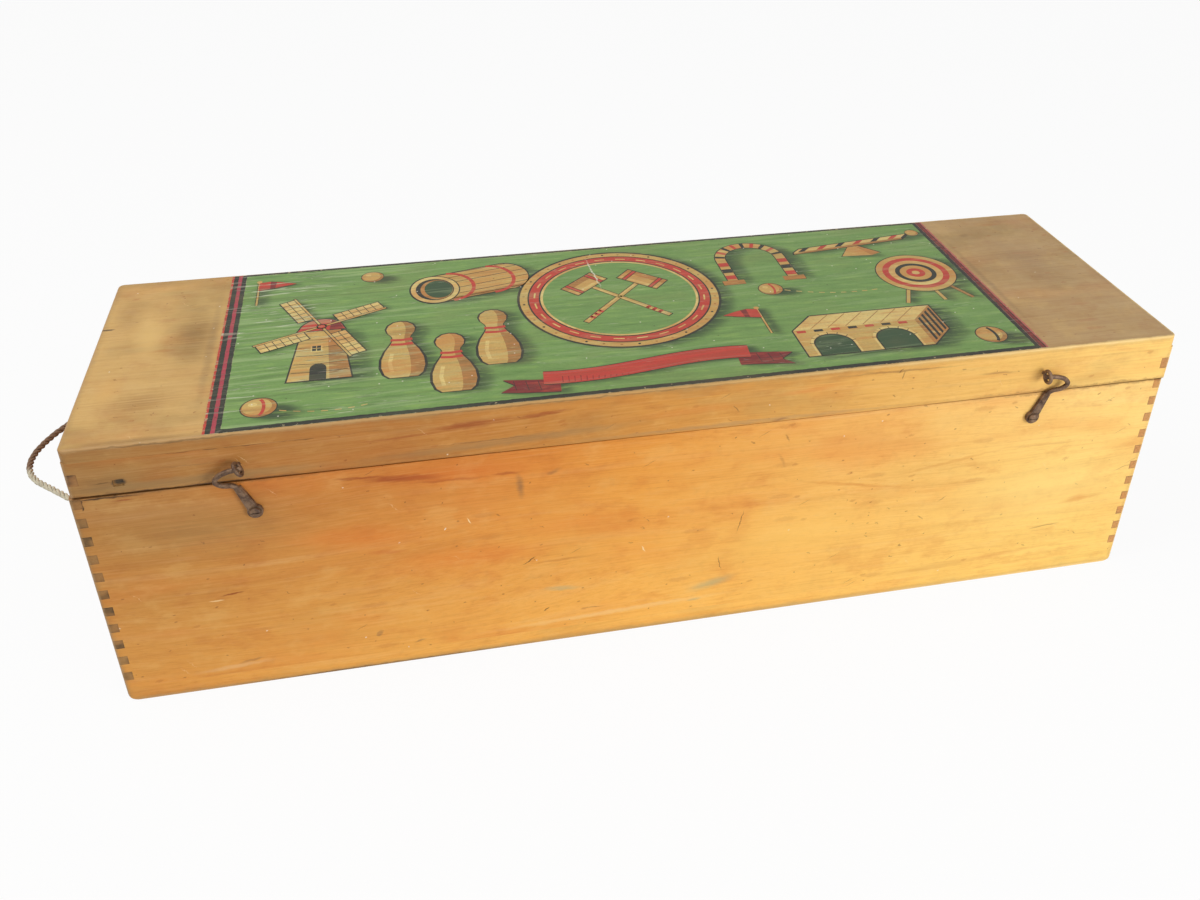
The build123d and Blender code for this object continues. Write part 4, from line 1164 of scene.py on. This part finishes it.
def draw_mallet(pen):
    handle, head = [(0, 0), (88, 0)], box(79, -19, 97, 19)
    pen.cast(8.0, stroke(handle, 4))
    pen.cast(10.0, head)
    pen.fill("black", 8, stroke([(-1, 0), (88, 0)], 6.0, 5.0))
    pen.fill("tan", 9, stroke(handle, 4.6, 3.6))
    pen.line("tan_light", 10, 1.0, (4, 0.9), (78, 0.7))
    for i in range(3):
        pen.fill("red", 10, box(8 + i * 6, -2.4, 11 + i * 6, 2.4))
    pen.fill("black", 10, box(78, -20, 98, 20))
    pen.fill("tan", 11, head)
    pen.fill("tan_dark", 12, box(90.6, -19, 97, 19))
    pen.fill("tan_light", 12, box(80.6, -18, 83.8, 18))
    for y0, y1 in ((-14.5, -11), (11, 14.5)):
        pen.fill("red", 13, box(79, y0, 97, y1))
        for y in (y0, y1):
            pen.line("black", 14, 0.7, (79, y), (97, y))


def draw_ribbon(pen):
    """A blank waving ribbon with folded, forked ends."""
    half, rise, wide = 110, 6, 17

    def wave(u):
        return u * half, rise * math.sin(u * math.pi)

    middle = [wave(-0.72 + 0.04 * i) for i in range(37)]
    for sign in (-1, 1):
        fold = [wave(sign * v) for v in (0.62, 0.7, 0.8, 0.9, 1.0)]
        back = [(px, py - wide * 0.62) for px, py in fold]
        tail = stroke(back, wide)
        tail.insert(len(back), (back[-1][0] - sign * wide * 0.55, back[-1][1]))
        pen.solid("red_dark", 2, 8.0, tail, [(px + sign * 0.4, py - 0.9) for px, py in tail])
        for v in (0.76, 0.84, 0.92):
            px, py = wave(sign * v)
            pen.line("black", 3, 0.5, (px, py - wide * 0.2), (px + 1, py - wide * 0.95))
    pen.solid("red", 4, 9.0, stroke(middle, wide), stroke(middle, wide + 1.6))
    for side in (-1, 1):
        pen.line("pink", 5, 0.7, *[(px, py + side * wide * 0.36) for px, py in middle])
    for i, (px, py) in enumerate(middle[3:15]):
        low = py - wide * 0.42
        pen.line("red_dark", 5, 0.5, (px, low), (px + 0.8, low + wide * (12 - i) / 24))


def draw_medallion(pen, r):
    pen.cast(10.0, oval(0, 0, r, count=64))
    draw_rings(pen, r, 1, 72, (
        (1.0, "black"), (0.975, "tan"), (0.9, "black"), (0.885, "red"), (0.79, "black"), (0.775, "tan_light"),
        (0.75, "green"),
    ))
    for i, stud in enumerate(oval(0, 0, r * 0.938, count=36)):
        pen.fill("tan_dark" if i % 3 else "black", 3, oval(*stud, 1.1, count=10))
    for angle in range(0, 360, 15):
        pen.line("tan_light", 5, 1.3, *oval(0, 0, r * 0.832, start=angle, end=angle + 7, count=3))


def draw_pennant(pen):
    pole = [(0, 0), (0, 42)]
    flag = [(0, 40), (9, 41.6), (18, 39), (30, 34), (20, 31), (9, 28), (0, 26)]
    pen.cast(9.0, stroke(pole, 2))
    pen.line("black", 1, 2.6, *pole)
    pen.line("tan", 2, 1.5, *pole)
    pen.fill("tan", 3, oval(0, 42, 2.2, count=16))
    pen.solid("red", 3, 7.0, flag, [(px + 0.5, py - 0.7) for px, py in flag])
    pen.fill("red_dark", 4, [(9, 41.6), (14, 40.2), (13, 29), (9, 28)])


def draw_barrel(pen):
    """A tunnel of staves with its open end to the front."""
    outline = oval(34, 10, 20, 24, -90, 90, 24) + oval(-26, 0, 20, 24, 90, 270, 24)
    pen.solid("tan", 2, 14.0, outline, grown(outline, 4, 5, 1.02, 1.05))
    for i, (dx, dy) in enumerate(oval(0, 0, 20, 24, -80, 76, 6)):
        pen.line("black", 3, 0.7, (-26 + dx, dy) if i < 6 else (-26, 24), (34 + dx, 10 + dy))
    pen.fill("tan_dark", 3, [(-24, -24), (34, -14), *oval(34, 10, 20, 24, -88, -40, 8), (-12, -17)])
    for share in (0.2, 0.78):
        pen.line("red", 4, 3.2, *oval(60 * share - 26, 10 * share, 20.4, 24.4, -88, 88, 20))
    for level, (name, *mouth) in enumerate((
        ("black", -26, 0, 20.6, 24.6), ("tan_light", -26, 0, 19.6, 23.6), ("black", -26, 0, 15.6, 19.2),
        ("tan_dark", -24.6, -0.6, 13.2, 17.4), ("green_dark", -23, -0.2, 11.4, 15.6),
    ), 5):
        pen.fill(name, level, oval(*mouth))


def draw_seesaw(pen):
    wedge, plank = [(-12, -16), (14, -16), (1, 8)], [(-52, -6), (50, 16), (56, 23), (-46, 1)]
    rim = [(-53.4, -9.8), (50.6, 12.2), (57.6, 20.2), (57.4, 24.2), (-46.4, 2), (-53.2, -5.4)]
    pen.solid("tan", 2, 12.0, wedge, [(-13.4, -17), (24, -11.6), (1.4, 9.4)])
    pen.fill("tan_dark", 2, [(14, -16), (22.4, -11.4), (1, 8)])
    pen.solid("tan_light", 4, 16.0, plank, rim)
    pen.fill("tan_dark", 4, [(-52, -6), (50, 16), (50, 13), (-52, -9)])

    # Stripes across the plank, which rises 22 over a run of 102
    for i in range(6):
        low = -48 + i * 17
        rise = 22 * (low + 52) / 102 - 6
        piece = [(low, rise + 0.2), (low + 6, rise + 1.5), (low + 11.6, rise + 8.2), (low + 5.6, rise + 6.9)]
        pen.fill("red" if i % 2 else "black", 5, piece)


def draw_trail(pen, start, bend, end, count):
    """A dotted curve such as a rolling ball leaves."""
    points = []
    for i in range(count + 1):
        t = i / count
        weights = ((1 - t) ** 2, 2 * t * (1 - t), t * t)
        points.append([sum(w * p[k] for w, p in zip(weights, (start, bend, end))) for k in (0, 1)])
    for dot in list(zip(points, points[1:]))[::2]:
        pen.line("tan_light", 1, 0.9, *dot)


def within(points, grid_x, grid_y):
    """Which grid points lie inside the outline."""
    inside = np.zeros(grid_x.shape, bool)
    for (x0, y0), (x1, y1) in zip(points, points[1:] + points[:1]):
        if y0 != y1:
            crosses = (grid_y < max(y0, y1)) & (grid_y >= min(y0, y1))
            inside ^= crosses & (grid_x < x0 + (grid_y - y0) * (x1 - x0) / (y1 - y0))
    return inside


def shadow_field(shadows, grid_x, grid_y):
    """How dark each grid point is under the shadows."""
    field = np.zeros(grid_x.shape)
    for points, reach in shadows:
        for i in range(SHADOW_STEPS):
            shift = reach * (i + 1) / SHADOW_STEPS
            moved = [(x + shift, y - SHADOW_SLOPE * shift) for x, y in points]
            field = np.maximum(field, within(moved, grid_x, grid_y) * (1.0 - SHADOW_THINS * i))
    for _ in range(SHADOW_BLURS):
        padded = np.pad(field, 1, mode="edge")
        beside = padded[:-2, 1:-1] + padded[2:, 1:-1] + padded[1:-1, :-2] + padded[1:-1, 2:]
        field = (beside + 2 * field) / 6
    return field


def build_ground(shadows):
    """The green print as a grid, each of whose points holds how much shadow is painted there."""
    count_x, count_y = [round((high - low) / GRID_STEP) + 1 for low, high in (GREEN_X, GREEN_Y)]
    xs, ys = np.linspace(*GREEN_X, count_x), np.linspace(*GREEN_Y, count_y)
    field = shadow_field(shadows, *np.meshgrid(xs, ys))
    top = (PAPER_TOP + 1.5 * INK_STEP) * MM
    vertices = [(x * MM, y * MM, top) for y in ys for x in xs]
    corners = [j * count_x + i for j in range(count_y - 1) for i in range(count_x - 1)]
    mesh = bpy.data.meshes.new("label_ground")
    mesh.from_pydata(vertices, [], [(c, c + 1, c + 1 + count_x, c + count_x) for c in corners])
    shade = mesh.attributes.new("shade", "FLOAT", "POINT")
    shade.data.foreach_set("value", field.ravel().astype(np.float32))
    return link_mesh("label_ground", mesh, ink("green"), "lid")


def make_label():
    random.seed(7)
    sheet = Print()
    pen = partial(Pen, sheet)
    draw_borders(pen())
    draw_windmill(pen(-244, -62, 1.2))
    draw_pennant(pen(-296, 62))
    draw_ball(pen(-204, 97, 9))
    draw_ball(pen(-284, -92, 12), "red")
    draw_barrel(pen(-128, 66, 1.0, 4))
    for place in ((-184, -70), (-148, -96), (-112, -64)):
        draw_skittle(pen(*place, 84))
    draw_medallion(pen(-6, 24), 84)
    draw_mallet(pen(-40, -14, 1.0, 48))
    draw_mallet(pen(28, -14, 1.0, 132))
    draw_ball(pen(-6, -26, 10))
    draw_ribbon(pen(-6, -86))
    draw_hoop(pen(121, 34))
    draw_ball(pen(121, 14, 10), "red")
    draw_bridge(pen(174, -98, 1.16))
    draw_pennant(pen(99, -58, flip=-1))
    draw_seesaw(pen(217, 78, 1.04, -5))
    draw_target(pen(254, 20), 34)
    draw_ball(pen(268, -92, 12), "black")
    draw_ball(pen(284, 98, 6))
    draw_trail(pen(), (-270, -98), (-236, -110), (-206, -100), 14)
    draw_trail(pen(), (132, 10), (172, -8), (214, -2), 18)
    ground = build_ground(sheet.shadows)
    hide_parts("lid_label")
    sheet.build()


make_camera()
make_rope()
make_world()
make_lamps()
make_floor()
dress_boards()
dress_iron()
dress_game()
make_label()
bpy.context.scene.view_settings.view_transform = "Standard"
